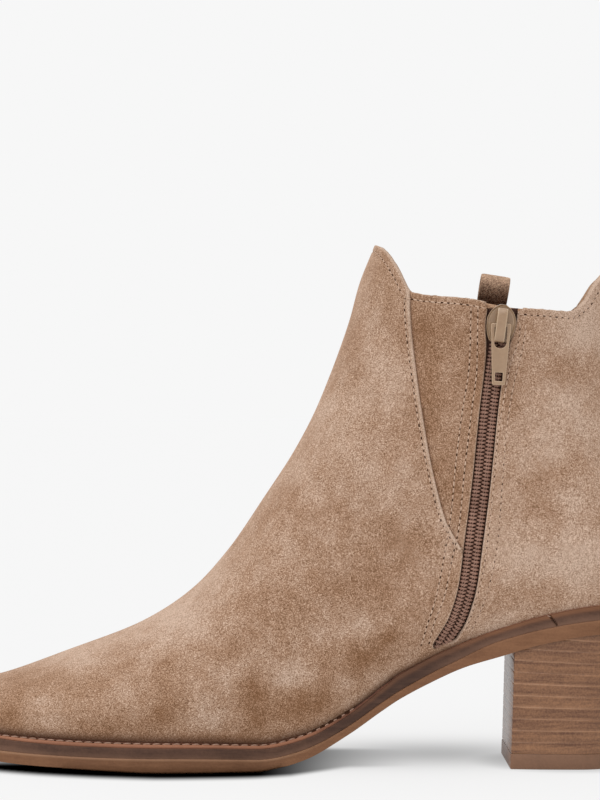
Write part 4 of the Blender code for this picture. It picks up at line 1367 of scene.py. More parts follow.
@dataclass
class Sole:
    """Outsole, midsole, welt and insole with the welt's stitches.

    Attributes:
        stations: Number of places along each edge.
        crown: How far the outsole's lower face lifts towards its edge.
        waist_drop: How much thicker the outsole is under the waist than the part's own table says.
        lip: Height of the lip at the outsole's top, which carries the pale line of wear and painted
            highlight.
        midsole_inset: How far the midsole's edge is behind the outsole's.
        welt_inset: The same for the welt.
        welt_least: Height of the thin line that is left of the welt behind the waist.
        stitch_end: Where the welt's stitches end at the waist.
        stitch_pitch: Distance from stitch to stitch on the welt.
        slit_top: Upper end of the joint in the midsole's inner edge.
        slit_foot: Lower end of it.
        slit_half: Half its width.
        slit_depth: How deep it is.
        insole_inset: How far the insole is inside the upper's outer face.
    """

    shape: BootShape
    stations: int = 260
    crown: float = 0.74
    waist_drop: float = 0.65
    lip: float = 0.55
    midsole_inset: float = 0.5
    welt_inset: float = 0.6
    welt_least: float = 0.32
    stitch_end: float = 27.0
    stitch_pitch: float = 3.3
    slit_top: Spot = Spot(92.7, 52.2)
    slit_foot: Spot = Spot(95.0, 49.3)
    slit_half: float = 0.26
    slit_depth: float = 1.1
    insole_inset: float = 3.4

    def layer(self, levels: Sequence[Level], dented: bool = False) -> tuple[Shape, dict[str, Array]]:
        """Makes one layer of the sole.

        Args:
            levels: Its loops, bottom to top.
            dented: Whether the joint's slit is pressed into its inner edge.

        Returns:
            The shape, and its marks: the pale line of wear and painted highlight, the dark stain at the waist
                and the rust trim behind it.
        """
        shape = self.shape
        angles = np.linspace(0.0, math.pi, self.stations)
        if dented:
            close = np.arccos(-np.linspace(91.0, 97.0, 40) / shape.half_length)
            angles = np.unique(np.concatenate([angles, close]))
        loops = []
        wear_and_painted_highlight = []
        trim = []
        for level in levels:
            inner_x, inner_y = shape.sole_edge(Side.INSIDE, angles, level.inset)
            outer_x, outer_y = shape.sole_edge(Side.OUTSIDE, angles, level.inset)
            if dented:
                inner_y = inner_y + self.slit_depth * self.slit_mask(inner_x, level.height(inner_x))
            xs = np.concatenate([inner_x, outer_x[::-1]])
            ys = np.concatenate([inner_y, outer_y[::-1]])
            loops.append(np.stack([xs, ys, level.height(xs)], -1))
            # Pale line of wear and painted highlight, faded towards the waist except on the midsole
            wear_and_painted_highlight.append(level.wear_and_painted_highlight * (1.0 - (0.0 if dented else 0.85) * ease(xs, -5.0, 30.0)))
            trim.append(level.trim * ease(xs, 20.0, 34.0) * (0.5 + 0.45 * ease(xs, 55.0, 75.0)))
        solid = loops_shape(loops)
        stain = ease(solid.points[:, 0], 8.0, 26.0) * (1.0 - ease(solid.points[:, 0], 46.0, 66.0))
        return solid, {"line": np.concatenate(wear_and_painted_highlight), "stain": stain, "trim": np.concatenate(trim)}

    @staticmethod
    def put_layer(
        name: str, made: tuple[Shape, dict], palette: Palette, slot: str, node: str, sharp: float = 50.0
    ) -> None:
        """Makes a layer's piece with the finish of its slot, and fits it for one solid."""
        solid, marks = made
        fit(make_piece(name, solid, palette[slot], sharp, marks, 0.01), [node])

    def welt_in(self, share: float, x: Array) -> Array:
        """Returns the inset of a place on the welt, from 0 at its edge to 1 at the upper's face."""
        return self.welt_inset + share * (self.shape.ledge_at(x) - self.welt_inset)

    def welt_up(self, share: float, x: Array) -> Array:
        """Returns the height of a place on the welt, from 0 at its foot to 1 where the upper starts."""
        return self.shape.midsole_top(x) + share * np.maximum(self.shape.welt_thickness(x), self.welt_least)

    def slit_mask(self, x: Array, z: Array) -> Array:
        """Returns how much each place of the midsole's edge is in the joint's slit."""
        away = from_line(np.stack([x, z], -1), np.array(self.slit_top), np.array(self.slit_foot))
        return np.exp(-((away / self.slit_half) ** 4))

    def build(self, palette: Palette) -> None:
        """Makes the layers and the welt's stitches.

        Args:
            palette: Materials by slot.
        """
        shape = self.shape
        top = shape.outsole_top

        def tread(x: Array) -> Array:
            """Returns the height of the outsole's lower face."""
            return shape.tread(x) - self.waist_drop * ease(x, -2.0, 14.0) * (1.0 - ease(x, 50.0, 68.0))

        def lift(x: Array) -> Array:
            """Returns how far the outsole's lower edge is rounded up, most where it stands on the floor."""
            standing = 1.0 - ease(shape.tread(x), 0.2, 3.0)
            return (0.12 + (self.crown - 0.12) * standing) * (1.0 - ease(x, 60.0, 80.0))

        def taper(x: Array) -> Array:
            """Returns the share of an inset that is left towards the toe and the back."""
            return ease(x, -shape.half_length, -95.0) * (1.0 - ease(x, 112.0, shape.half_length))

        # Inset of each loop under the outsole and its share of the edge's rounding
        under = ((12.0, 0.0), (7.0, 0.25), (3.6, 0.58), (1.8, 0.86), (0.8, 1.12), (0.25, 1.5), (0.0, 2.0))
        outsole_levels = [
            Level(lambda x, r=reach: r * taper(x), lambda x, s=share: tread(x) + s * lift(x))
            for reach, share in under
        ]
        # Upper loops: the outsole's top edge, whose pale line is wear and a painted highlight
        outsole_levels += [
            Level(0.0, lambda x: tread(x) + 0.6 * shape.outsole_thickness(x)),
            Level(0.0, lambda x: top(x) - self.lip - 0.45),
            Level(-0.02, lambda x: top(x) - self.lip, 0.8),
            Level(0.0, lambda x: top(x) - 0.25, 1.0),
            Level(0.25, lambda x: top(x) - 0.05, 0.8),
        ]
        self.put_layer("outsole_layer", self.layer(outsole_levels), palette, "sole_tan", "outsole")

        midsole_levels = []
        for share in (0.0, 0.08, 0.2, 0.35, 0.5, 0.65, 0.8, 0.92, 1.0):
            belly = self.midsole_inset - 0.18 * math.sin(math.pi * share)
            height = lambda x, s=share: top(x) - 0.02 + s * (shape.midsole_thickness(x) - 0.05)
            # Pale line of wear and painted highlight, strongest at the midsole's foot
            wear_and_painted_highlight = 0.3 if share == 1.0 else max(0.0, 0.62 - 1.1 * share)
            midsole_levels.append(Level(belly, height, wear_and_painted_highlight, float(ease(np.array(share), 0.55, 0.85))))
        self.put_layer("midsole_edge", self.layer(midsole_levels, True), palette, "edge_dark", "midsole")

        # Inward and upward share of each loop of the welt, and its share of the pale line of wear and painted
        # highlight
        profile = (
            (0.06, -0.02, 0.0), (0.0, 0.12, 0.3), (0.0, 0.42, 0.8), (0.1, 0.58, 0.6), (0.3, 0.6, 0.2),
            (0.55, 0.45, 0.0), (0.85, 0.42, 0.0), (1.15, 0.5, 0.0), (1.3, 1.05, 0.0), (1.8, 1.05, 0.0),
        )
        welt_levels = [
            Level(lambda x, s=inward: self.welt_in(s, x), lambda x, s=upward: self.welt_up(s, x), wear_and_painted_highlight)
            for inward, upward, wear_and_painted_highlight in profile
        ]
        self.put_layer("welt_strip", self.layer(welt_levels), palette, "welt_rust", "welt")

        def sock_edge(x: Array) -> Array:
            """Returns the insole's inset from the sole's edge."""
            return shape.ledge_at(x) + self.insole_inset

        sock_levels = [
            Level(sock_edge, lambda x: shape.sole_top(x) + 0.15),
            Level(sock_edge, lambda x: shape.sole_top(x) + 2.3),
            Level(lambda x: sock_edge(x) + 0.4, lambda x: shape.sole_top(x) + 2.6),
        ]
        self.put_layer("insole_sock", self.layer(sock_levels), palette, "insole_beige", "insole", 40.0)
        self.build_stitches(palette)

    def build_stitches(self, palette: Palette) -> None:
        """Makes the row of stitches on the welt's slope, from the waist round the toe to the other waist.

        Args:
            palette: Materials by slot.
        """
        shape = self.shape
        angles = np.linspace(0.0, math.acos(-self.stitch_end / shape.half_length), 400)
        inner = np.stack(shape.sole_edge(Side.INSIDE, angles, lambda x: self.welt_in(0.6, x)), -1)
        outer = np.stack(shape.sole_edge(Side.OUTSIDE, angles, lambda x: self.welt_in(0.6, x)), -1)
        plan = np.concatenate([inner[::-1], outer[1:]])
        path = np.column_stack([plan, self.welt_up(0.66, plan[:, 0])])
        places, along = even_stations(path, self.stitch_pitch)
        outward = np.cross(along, np.array([0.0, 0.0, 1.0]))
        from_middle = places - np.array([0.0, -2.0, 0.0])
        inward = np.sum(outward * from_middle, axis=1, keepdims=True) < 0.0
        normals = unit(np.where(inward, -outward, outward) * 0.55 + np.array([0.0, 0.0, 1.0]))
        frames = frames_on(normals, along)
        twist = math.radians(9.0)
        turned = frames.copy()
        turned[:, :, 0] = math.cos(twist) * frames[:, :, 0] + math.sin(twist) * frames[:, :, 1]
        turned[:, :, 1] = math.cos(twist) * frames[:, :, 1] - math.sin(twist) * frames[:, :, 0]
        bar = thread_bar(0.8 * self.stitch_pitch, 0.66, 0.56, 0.25)
        stitches = stamp(bar, places, turned)
        fit(make_piece("welt_stitches", stitches, palette["welt_thread"], 60.0))
        half = 0.5 * self.stitch_pitch
        # Dark bars between the stitches: painted shade in the needle holes, larger towards the waist
        hole_shade = thread_bar(0.8, 0.9, 0.4, 0.05)
        waist = ease(places[:, :1], 4.0, 20.0)
        sizes = 1.0 + waist[:, :, None] * np.array([1.5, 0.8, 0.6])
        hole_shades = stamp(hole_shade, places + half * along + (0.4 * waist - 0.2) * normals, frames * sizes)
        fit(make_piece("welt_stitch_hole_shade", hole_shades, palette["needle_hole_shade"], 60.0))
        thread_end = thread_bar(1.2, 0.42, 0.4, 0.1)
        x, z = self.slit_top
        edge = float(np.interp(x, *shape.feather_line[Side.INSIDE]))
        spot = np.array([[x - 0.4, edge - 0.75, z + 0.1]])
        tie = stamp(thread_end, spot, frames_on(np.array([[0.0, -1.0, 0.0]]), np.array([[0.93, 0.0, -0.37]])))
        fit(make_piece("slit_thread", tie, palette["welt_thread"], 60.0))


@dataclass
class Heel:
    """The stacked heel with its layers and the top piece under it.

    Attributes:
        breast_top: Where the heel's front face meets the outsole.
        breast_foot: Where the front face meets the floor.
        back_top: Where its back would meet the seat height.
        back_foot: Where its back meets the floor.
        foot_scale: Its width at the floor over its width at the seat height.
        lift: Height of the top piece.
        lift_proud: How far the top piece stands out under the stack.
        pitch: Thickness of a layer.
        tilt: How much the uppermost layer falls to the back, in degrees.
        layers: Number of layers.
        datum: Where the pitch is measured.
        groove: Depth of the line between two layers.
        corner: Size of the cut at the breast's two edges.
        side_points: Number of places along each side.
    """

    shape: BootShape
    breast_top: float = 81.0
    breast_foot: float = 79.5
    back_top: float = 131.0
    back_foot: float = 126.0
    foot_scale: float = 0.9
    lift: float = 5.3
    lift_proud: float = 0.15
    pitch: float = 3.95
    tilt: float = 4.0
    layers: int = 11
    datum: float = 89.0
    groove: float = 0.12
    corner: float = 0.5
    side_points: int = 46

    def ring(self, height: float, tilt: float, inset: float) -> Array:
        """Returns one loop round the heel, cut off where it meets the outsole.

        Args:
            height: Height of the loop at the datum.
            tilt: How much it falls to the back, as a slope.
            inset: How far it is moved in.

        Returns:
            The loop, along the inside and back along the outside.
        """
        half = half_width(HEEL_PLAN)
        ways = 1.0 - np.linspace(0.0, 1.0, self.side_points)
        z = np.full(self.side_points, height)
        x = np.zeros(self.side_points)
        y = np.zeros(self.side_points)
        for _ in range(3):
            share = z / self.shape.seat_height
            breast = self.breast_foot + (self.breast_top - self.breast_foot) * share + inset
            back = self.back_foot + (self.back_top - self.back_foot) * share - inset
            x = breast + (back - breast) * (1.0 - ways**2)
            y = np.maximum(half(ways) * (self.foot_scale + (1.0 - self.foot_scale) * share) - inset, 0.0)
            z = np.minimum(height - tilt * (x - self.datum), self.shape.tread(x) - 0.05)
        x[0] += 0.35 * self.corner
        inner = np.stack([x, -y, z], -1)
        lead = np.array([[x[0] - 0.35 * self.corner, -y[0] + self.corner, z[0]]])
        inner = np.concatenate([lead, inner])
        return np.concatenate([inner, (inner * np.array([1.0, -1.0, 1.0]))[::-1]])

    def build(self, palette: Palette) -> None:
        """Makes the stack and the top piece.

        Args:
            palette: Materials by slot.
        """
        draw = np.random.default_rng(7)
        tones = draw.uniform(0.0, 1.0, self.layers + 2)
        above = draw.uniform(0.2, 1.0, self.layers + 2)
        below = draw.uniform(0.3, 1.0, self.layers + 2)
        pales = draw.uniform(0.35, 0.95, self.layers + 2)
        loops = []
        marks: dict[str, list[Array]] = {"line": [], "tone": [], "dark": []}
        foot = self.lift + 0.05
        # Loops round a line between two layers: offset, share of the groove, of the pale line and of the dark
        profile = (
            (-1.6, 0.0, 0.0, 0.35), (-1.0, 0.0, 0.0, 1.0), (-0.45, 0.0, 0.0, 0.7), (-0.16, 0.3, 0.3, 0.2),
            (0.0, 1.0, 1.0, 0.0), (0.16, 0.3, 0.7, 0.0), (0.42, 0.0, 0.15, 0.3), (1.0, 0.0, 0.0, 0.8),
            (1.6, 0.0, 0.0, 0.2),
        )
        for layer in range(self.layers + 1):
            tilt = math.tan(math.radians(self.tilt) * layer / self.layers)
            for offset, depth, pale, dark in profile:
                if layer == 0 and offset < 0.0:
                    continue
                loop = self.ring(foot + layer * self.pitch + offset, tilt, self.groove * depth)
                shade = (above if offset > 0.0 else below)[layer]
                loops.append(loop)
                marks["line"].append(np.full(len(loop), pale * pales[layer]))
                marks["tone"].append(np.full(len(loop), tones[layer + (1 if offset >= 0.0 else 0)]))
                marks["dark"].append(np.full(len(loop), dark * shade))
        values = {label: np.concatenate(parts) for label, parts in marks.items()}
        piece = make_piece("heel_stack_block", loops_shape(loops), palette["heel_stack"], 40.0, values, 0.03)
        fit(piece, ["heel"])

        top = self.lift
        # Height and inset of each loop of the top piece
        edge = ((0.0, 0.45), (0.12, 0.16), (0.4, 0.0), (top - 0.3, 0.0), (top - 0.08, 0.1), (top, 0.35))
        solid = loops_shape([self.ring(z, 0.0, inset - self.lift_proud) for z, inset in edge])
        fit(make_piece("heel_top_piece", solid, palette["lift_tan"]), ["heel_lift"])


class Score(NamedTuple):
    """A line scored into the suede: its value is zero on the line, and `where` tells which points count."""

    value: Curve
    where: Curve


class Scorer:
    """Splits a mesh's faces along lines, so that panels, edges and stitch grooves follow them exactly."""

    def __init__(self, work: Mesh, snap: float = 0.16) -> None:
        """Keeps the mesh, in millimetres, and the share of an edge within which a point moves onto a line.

        Args:
            work: Mesh to score.
            snap: Share of an edge.
        """
        self.work = work
        self.snap = snap
        self.held: set[bmesh.types.BMVert] = set()

    def places(self) -> Array:
        """Returns all points of the mesh and numbers them."""
        self.work.verts.index_update()
        return np.array([vert.co for vert in self.work.verts])

    def cut(self, score: Score) -> None:
        """Splits the faces along one line.

        Args:
            score: Line to cut along.
        """
        points = self.places()
        values = score.value(points)
        chosen = score.where(points)
        on_line: set[bmesh.types.BMVert] = set()
        self.work.verts.ensure_lookup_table()
        for i in np.nonzero(chosen & (np.abs(values) < 1e-6))[0]:
            on_line.add(self.work.verts[int(i)])
        crossing = []
        for edge in self.work.edges:
            i, j = edge.verts[0].index, edge.verts[1].index
            if values[i] * values[j] < 0.0 and chosen[i] and chosen[j]:
                crossing.append(edge)
        for edge in crossing:
            a, b = edge.verts
            if values[a.index] * values[b.index] >= 0.0:
                continue
            share = values[a.index] / (values[a.index] - values[b.index])
            near, goal = (a, share) if share < 0.5 else (b, 1.0 - share)
            if goal < self.snap and near not in self.held:
                near.co = a.co.lerp(b.co, share)
                values[near.index] = 0.0
                on_line.add(near)
        splits = []
        for edge in crossing:
            a, b = edge.verts
            if values[a.index] * values[b.index] < 0.0:
                splits.append((edge, a, values[a.index] / (values[a.index] - values[b.index])))
        for edge, start, share in splits:
            _, vert = bmesh.utils.edge_split(edge, start, share)
            on_line.add(vert)
        faces = {face for vert in on_line for face in vert.link_faces}
        for face in faces:
            hits = [vert for vert in face.verts if vert in on_line]
            if len(hits) == 2 and not any(edge.other_vert(hits[0]) is hits[1] for edge in hits[0].link_edges):
                bmesh.utils.face_split(face, hits[0], hits[1])
        self.held |= on_line


@dataclass
class Upper:
    """The suede upper: vamp and quarters, two side panels, lining and all stitch rows.

    Attributes:
        wall: Thickness of suede and lining together.
        step: How far a side panel lies under the vamp's edge.
        round: Radius of a cut edge.
        groove: Depth of the groove that a row of stitches pulls.
        seam_row: Distance of the vamp's stitches from its edge.
        collar_row: Distance of the collar's stitches from its edge.
        corner: Radius of the two corners between collar and slot.
        seam_edge: Width of the pale band along the vamp's cut edge.
        cut_edge: The same along the collar and the slot.
        outer_peak_shift: How much further back the collar rises on the outer side.
        panel_foot: Height where the vamp's edge meets the zip.
        pitch: Distance from stitch to stitch.
        slot_lift: Height of the zip's lower end over the sole.
        back_seam: Depth of the seam down the back.
        groove_half: Half width of a stitch groove.
        back_seam_half: Half width of the back seam.
        foot_dark: How dark the suede is at the sole.
        foot_shade_reach: How far up that dark line reaches.
        seam_top: Upper end of the stitches along the vamp's edge.
        outer_top: Upper end of those along the outer panel's back edge.
        collar_spans: Both runs of stitches along the collar, in front of the notch and behind it.
        shaft_x: The shaft with its panels is behind this place.
        shaft_z: The collar is above this height.
        back_x: The back of the boot is behind this place.
        weld: Points of the skin closer than this become one.
    """

    shape: BootShape
    wall: float = 1.9
    step: float = 0.95
    round: float = 0.5
    groove: float = 0.2
    seam_row: float = 1.6
    collar_row: float = 2.3
    corner: float = 2.6
    seam_edge: float = 1.4
    cut_edge: float = 0.45
    outer_peak_shift: float = 2.2
    panel_foot: float = 74.4
    pitch: float = 2.2
    slot_lift: float = 2.0
    back_seam: float = 0.45
    groove_half: float = 0.4
    back_seam_half: float = 0.45
    # foot_dark: How dark the painted shade on the suede is at the sole, where it meets the welt.
    # foot_shade_reach: How far up that painted shade reaches.
    foot_dark: float = 0.85
    foot_shade_reach: float = 1.9
    seam_top: float = 161.5
    outer_top: float = 155.0
    collar_spans: tuple[tuple[float, float], ...] = ((34.5, 44.4), (46.2, 117.5))
    shaft_x: float = 30.0
    shaft_z: float = 120.0
    back_x: float = 100.0
    weld: float = 0.004

    def __post_init__(self) -> None:
        """Turns the lines on the boot's side into functions of height."""
        self.half_at = half_width(SLOT)
        self.thread = thread_bar(0.62 * self.pitch, 0.46, 0.36, 0.14)
        # Dark bars at the needle holes, a painted shade
        self.hole_shade = thread_bar(0.95, 0.5, 0.34, 0.0)
        self.small_hole_shade = thread_bar(0.6, 0.36, 0.3, 0.0)
        self.draw = np.random.default_rng(11)
        self.rows = [line_by_height(row.line) for row in ZIP_ROWS]

    def slot_edge(self, z: Array, direction: float, inset: float = 0.0) -> Array:
        """Returns the x of the front (-1) or back (1) edge of the zip slot."""
        lean = np.hypot(1.0, slope_of(self.shape.zip_x, z))
        return self.shape.zip_x(z) + direction * (self.half_at(z) - inset) * lean

    @staticmethod
    def across(line: Curve, points: Array) -> Array:
        """Returns how far points are behind a line of the side view, square to it."""
        z = points[:, 2]
        return (points[:, 0] - line(z)) / np.hypot(1.0, slope_of(line, z))

    def below_collar(self, points: Array, rounded: bool = True) -> Array:
        """Returns how far points are below the collar's edge, square to it.

        Args:
            points: Places on the skin.
            rounded: Whether the edge turns down into the zip's slot.

        Returns:
            The distances.
        """
        x = points[:, 0]
        late = self.outer_peak_shift * ease(points[:, 1], -12.0, 12.0) * ease(x, 92.0, 101.0)
        x = x - late
        ragged = 0.09 * np.sin(1.9 * x) + 0.06 * np.sin(4.3 * x + 1.0)
        steep = np.hypot(1.0, slope_of(self.shape.collar_z, x))
        gap = (self.shape.collar_z(x) + ragged - points[:, 2]) / steep
        if rounded:
            inside = (points[:, 1] < 0.0) & (x > self.shaft_x)
            for beside in (-self.front(points), self.back(points)):
                near = np.clip(1.0 - beside / self.corner, 0.0, 1.0)
                turn = self.corner * (1.0 - np.sqrt(1.0 - near**2))
                gap = gap - np.where(inside & (beside > -1.0), turn, 0.0)
        return gap

    def front(self, points: Array) -> Array:
        """Returns how far points are behind the slot's front edge."""
        return self.across(lambda z: self.slot_edge(z, -1.0), points)

    def back(self, points: Array) -> Array:
        """Returns how far points are behind the slot's back edge."""
        return self.across(lambda z: self.slot_edge(z, 1.0), points)

    def seam(self, points: Array) -> Array:
        """Returns how far points are behind the vamp's edge."""
        return self.across(self.shape.seam_x, points)

    def outer_back(self, points: Array) -> Array:
        """Returns how far points are behind the outer side panel's back edge."""
        return self.across(self.shape.zip_x, points)

    def slot_foot(self, points: Array) -> Array:
        """Returns how far points are above the zip's lower end."""
        return points[:, 2] - self.shape.sole_top(points[:, 0]) - self.slot_lift

    def scores(self) -> list[Score]:
        """Returns every line that is scored into the upper, in order.

        Returns:
            The lines.
        """

        def shaft_side(side: Side, low: float) -> Curve:
            """Returns a test for the points on one side of the shaft that are above a height."""
            return lambda p: (side.value * p[:, 1] > 0.5) & (p[:, 0] > self.shaft_x) & (p[:, 2] > low)

        def near_foot(p: Array) -> Array:
            """Tells which points are close to the zip's lower end."""
            beside = (self.front(p) > -1.0) & (self.back(p) < 1.0)
            return shaft_side(Side.INSIDE, 0.0)(p) & beside & (p[:, 2] < 50.0)

        edge = (0.0, 0.12, 0.3, 0.6)
        row = (-0.5, 0.0, 0.5)
        beside_slot = shaft_side(Side.INSIDE, 40.0)
        panels = {side: shaft_side(side, self.panel_foot - 0.5) for side in Side}
        seam_lines = edge + tuple(self.seam_row + offset for offset in row)
        lines: list[Score] = []
        for offset in edge + tuple(self.collar_row + offset for offset in row):
            value = lambda p, o=offset: self.below_collar(p) - o
            lines.append(Score(value, lambda p: p[:, 2] > self.shaft_z))
        for offset in edge:
            lines.append(Score(lambda p, o=offset: self.front(p) + o, beside_slot))
            lines.append(Score(lambda p, o=offset: self.back(p) - o, beside_slot))
        lines.append(Score(self.slot_foot, near_foot))
        for side in Side:
            lines += [Score(lambda p, o=offset: self.seam(p) + o, panels[side]) for offset in seam_lines]
        for offset in seam_lines:
            lines.append(Score(lambda p, o=offset: self.outer_back(p) - o, panels[Side.OUTSIDE]))
        for line in self.rows:
            for offset in row:
                value = lambda p, r=line, o=offset: self.across(r, p) - o
                lines.append(Score(value, shaft_side(Side.INSIDE, 38.0)))
        for offset in (-1.1, -0.4, 0.4, 1.1):
            lines.append(Score(lambda p, o=offset: p[:, 1] - o, lambda p: p[:, 0] > self.back_x))
        return lines

    def last_mesh(self, rows: Array, count: int) -> Mesh:
        """Returns the last's face as a mesh in millimetres.

        Args:
            rows: Row numbers of its slices.
            count: Places from the ridge to each base.

        Returns:
            The mesh, whose rows run from the inner base over the ridge to the outer base.
        """
        steps = np.linspace(0.0, 1.0, count)
        inner = self.shape.surface(rows[:, None], steps[None, ::-1], Side.INSIDE)
        outer = self.shape.surface(rows[:, None], steps[None, 1:], Side.OUTSIDE)
        grid = np.concatenate([inner, outer], axis=1)
        work = bmesh.new()
        verts = [work.verts.new(point) for point in grid.reshape(-1, 3)]
        for face in grid_faces(*grid.shape[:2], flip=True):
            work.faces.new([verts[i] for i in face])
        bmesh.ops.remove_doubles(work, verts=work.verts, dist=self.weld)
        return work

    def skin(self) -> Mesh:
        """Returns the last's skin as a fine mesh in millimetres, scored along all lines.

        Returns:
            The scored mesh.
        """
        toe = np.linspace(0.0, 1.0, 16) ** 2
        foot = np.linspace(1.0, WAIST_ROW, 70)
        waist = np.linspace(WAIST_ROW, SEAT_ROW - 1, 40)
        seat = SEAT_ROW - np.linspace(1.0, 0.0, 24) ** 1.3
        shaft = np.linspace(SEAT_ROW, TOP_ROW, 80)
        work = self.last_mesh(np.unique(np.round(np.concatenate([toe, foot, waist, seat, shaft]), 6)), 58)
        bmesh.ops.dissolve_degenerate(work, edges=work.edges, dist=self.weld)
        work.normal_update()
        outward = work.verts.layers.float_vector.new("outward")
        for vert in work.verts:
            vert[outward] = vert.normal
        scorer = Scorer(work)
        for score in self.scores():
            scorer.cut(score)
        bmesh.ops.triangulate(work, faces=[face for face in work.faces if len(face.verts) > 4])
        work.normal_update()
        return work

    def panel_names(self, points: Array) -> Array:
        """Returns which panel each place belongs to: main, inner_panel, outer_panel or waste.

        Args:
            points: Places in millimetres, one per row.

        Returns:
            One name per place.
        """
        inside = points[:, 1] < 0.0
        high = points[:, 2] > self.panel_foot
        between = self.seam(points) > 0.0
        names = np.full(len(points), "main", dtype=object)
        names[inside & high & between & (self.front(points) < 0.0)] = "inner_panel"
        names[~inside & high & between & (self.outer_back(points) < 0.0)] = "outer_panel"
        in_slot = (self.front(points) > 0.0) & (self.back(points) < 0.0) & (self.slot_foot(points) > 0.0)
        names[inside & in_slot & (points[:, 0] > self.shaft_x)] = "waste"
        names[self.below_collar(points) < 0.0] = "waste"
        return names

    @staticmethod
    def nearest(*gaps: tuple[Array, Array]) -> Array:
        """Returns the least of several distances, each counted only where its test holds."""
        return np.min([np.where(where, gap, 99.0) for where, gap in gaps], axis=0)

    def edge_distances(self, points: Array, name: str) -> Array:
        """Returns how far each point of a panel is from the panel's nearest cut edge.

        Args:
            points: Places in millimetres, one per row.
            name: Name of the panel.

        Returns:
            One value per point.
        """
        collar = (points[:, 2] > self.shaft_z, self.below_collar(points))
        front = -self.front(points)
        if name == "inner_panel":
            return self.nearest(collar, (np.full(len(points), True), front))
        if name == "outer_panel":
            return self.nearest(collar)
        inside = points[:, 1] < 0.0
        shaft = points[:, 0] > self.shaft_x
        high = points[:, 2] > self.panel_foot - 0.3
        slot = inside & shaft & (self.slot_foot(points) > -0.3)
        seam, back, outer = -self.seam(points), self.back(points), self.outer_back(points)
        return self.nearest(
            collar,
            (shaft & high & (seam > -0.05), seam),
            (slot & ~high & (front > -0.05), front),
            (slot & (back > -0.05), back),
            (~inside & shaft & high & (outer > -0.05), outer),
        )

    def row_distances(self, points: Array) -> Array:
        """Returns how far each point is from the nearest row of stitches.

        Args:
            points: Places in millimetres, one per row.

        Returns:
            One value per point.
        """
        inside = points[:, 1] < 0.0
        shaft = points[:, 0] > self.shaft_x
        panel = shaft & (points[:, 2] > self.panel_foot)
        return self.nearest(
            (points[:, 2] > self.shaft_z, np.abs(self.below_collar(points) - self.collar_row)),
            (panel, np.abs(self.seam(points) + self.seam_row)),
            (~inside & panel, np.abs(self.outer_back(points) - self.seam_row)),
            *((inside & shaft, np.abs(self.across(row, points))) for row in self.rows),
        )

    def recess(self, points: Array) -> Array:
        """Returns how deep a side panel lies: under the vamp's edge, and rising to the zip or quarter."""
        return self.step - 0.5 * ease(self.seam(points), 3.0, 10.0)

    def nap(self, points: Array, name: str) -> Array:
        """Returns how light the suede is at each point: marks in the brushed pile, with a painted highlight
        along the vamp's ridge.

        Args:
            points: Places in millimetres, one per row.
            name: Name of the panel.

        Returns:
            One value per point.
        """
        outer = ease(points[:, 1], -9.0, 9.0)
        tone = np.zeros(len(points))
        for nap_and_light_spots, share in ((INSIDE_NAP_AND_LIGHT, 1.0 - outer), (OUTSIDE_NAP_AND_LIGHT, outer)):
            for nap_and_light_spot in nap_and_light_spots:
                along, up = points[:, 0] - nap_and_light_spot.x, points[:, 2] - nap_and_light_spot.z
                away = (along / nap_and_light_spot.reach_x) ** 2 + (up / nap_and_light_spot.reach_z) ** 2
                tone += share * nap_and_light_spot.tone * np.exp(-away)
        quarter = ease(self.outer_back(points), 2.0, 14.0) * (points[:, 2] > 45.0)
        tone += 0.38 * quarter
        if name != "main":
            tone -= 0.35
        return np.clip(tone, -1.0, 1.0)

    def panel(self, work: Mesh, name: str, finish: Material) -> Piece:
        """Makes one panel from the scored skin.

        Args:
            work: The scored skin.
            name: The panel's name in panel_names.
            finish: The suede.

        Returns:
            The panel as an object with its thickness.
        """
        part = work.copy()
        part.faces.ensure_lookup_table()
        centres = np.array([face.calc_center_median() for face in part.faces])
        names = self.panel_names(centres)
        waste = [face for face, label in zip(part.faces, names) if label != name]
        bmesh.ops.delete(part, geom=waste, context="FACES")
        part.verts.index_update()
        outward = part.verts.layers.float_vector["outward"]
        points = np.array([vert.co for vert in part.verts])
        normals = unit(np.array([vert[outward] for vert in part.verts]))
        faces = [tuple(vert.index for vert in face.verts) for face in part.faces]
        count = len(points)
        faces += [tuple(count + i for i in face[::-1]) for face in faces]
        for edge in part.edges:
            if len(edge.link_loops) == 1:
                loop = edge.link_loops[0]
                a, b = loop.vert.index, loop.link_loop_next.vert.index
                faces.append((b, a, count + a, count + b))
        part.free()
        from_edge = np.maximum(self.edge_distances(points, name), 0.0)
        bend = np.clip(1.0 - from_edge / self.round, 0.0, 1.0)
        lift = -self.round * (1.0 - np.sqrt(1.0 - bend**2)) * 0.8
        lift -= self.groove * np.exp(-((self.row_distances(points) / self.groove_half) ** 2))
        lift += self.shape.relief(points)
        if name == "main":
            behind = points[:, 0] > self.back_x
            back_line = np.exp(-((points[:, 1] / self.back_seam_half) ** 2))
            lift -= np.where(behind, self.back_seam * back_line, 0.0)
        else:
            lift -= self.recess(points)
        outer = points + normals * lift[:, None]
        inner = points - normals * self.wall
        raw = 0.75 * np.clip(1.0 - from_edge / self.cut_edge, 0.0, 1.0)
        if name == "main":
            seam = -self.seam(points)
            beside = (points[:, 0] > self.shaft_x) & (points[:, 2] > self.panel_foot - 0.3) & (seam > -0.05)
            band = 0.8 * np.clip(1.6 - 1.6 * seam / self.seam_edge, 0.0, 1.0)
            raw = np.maximum(raw, np.where(beside, band, 0.0))
        x = points[:, 0]
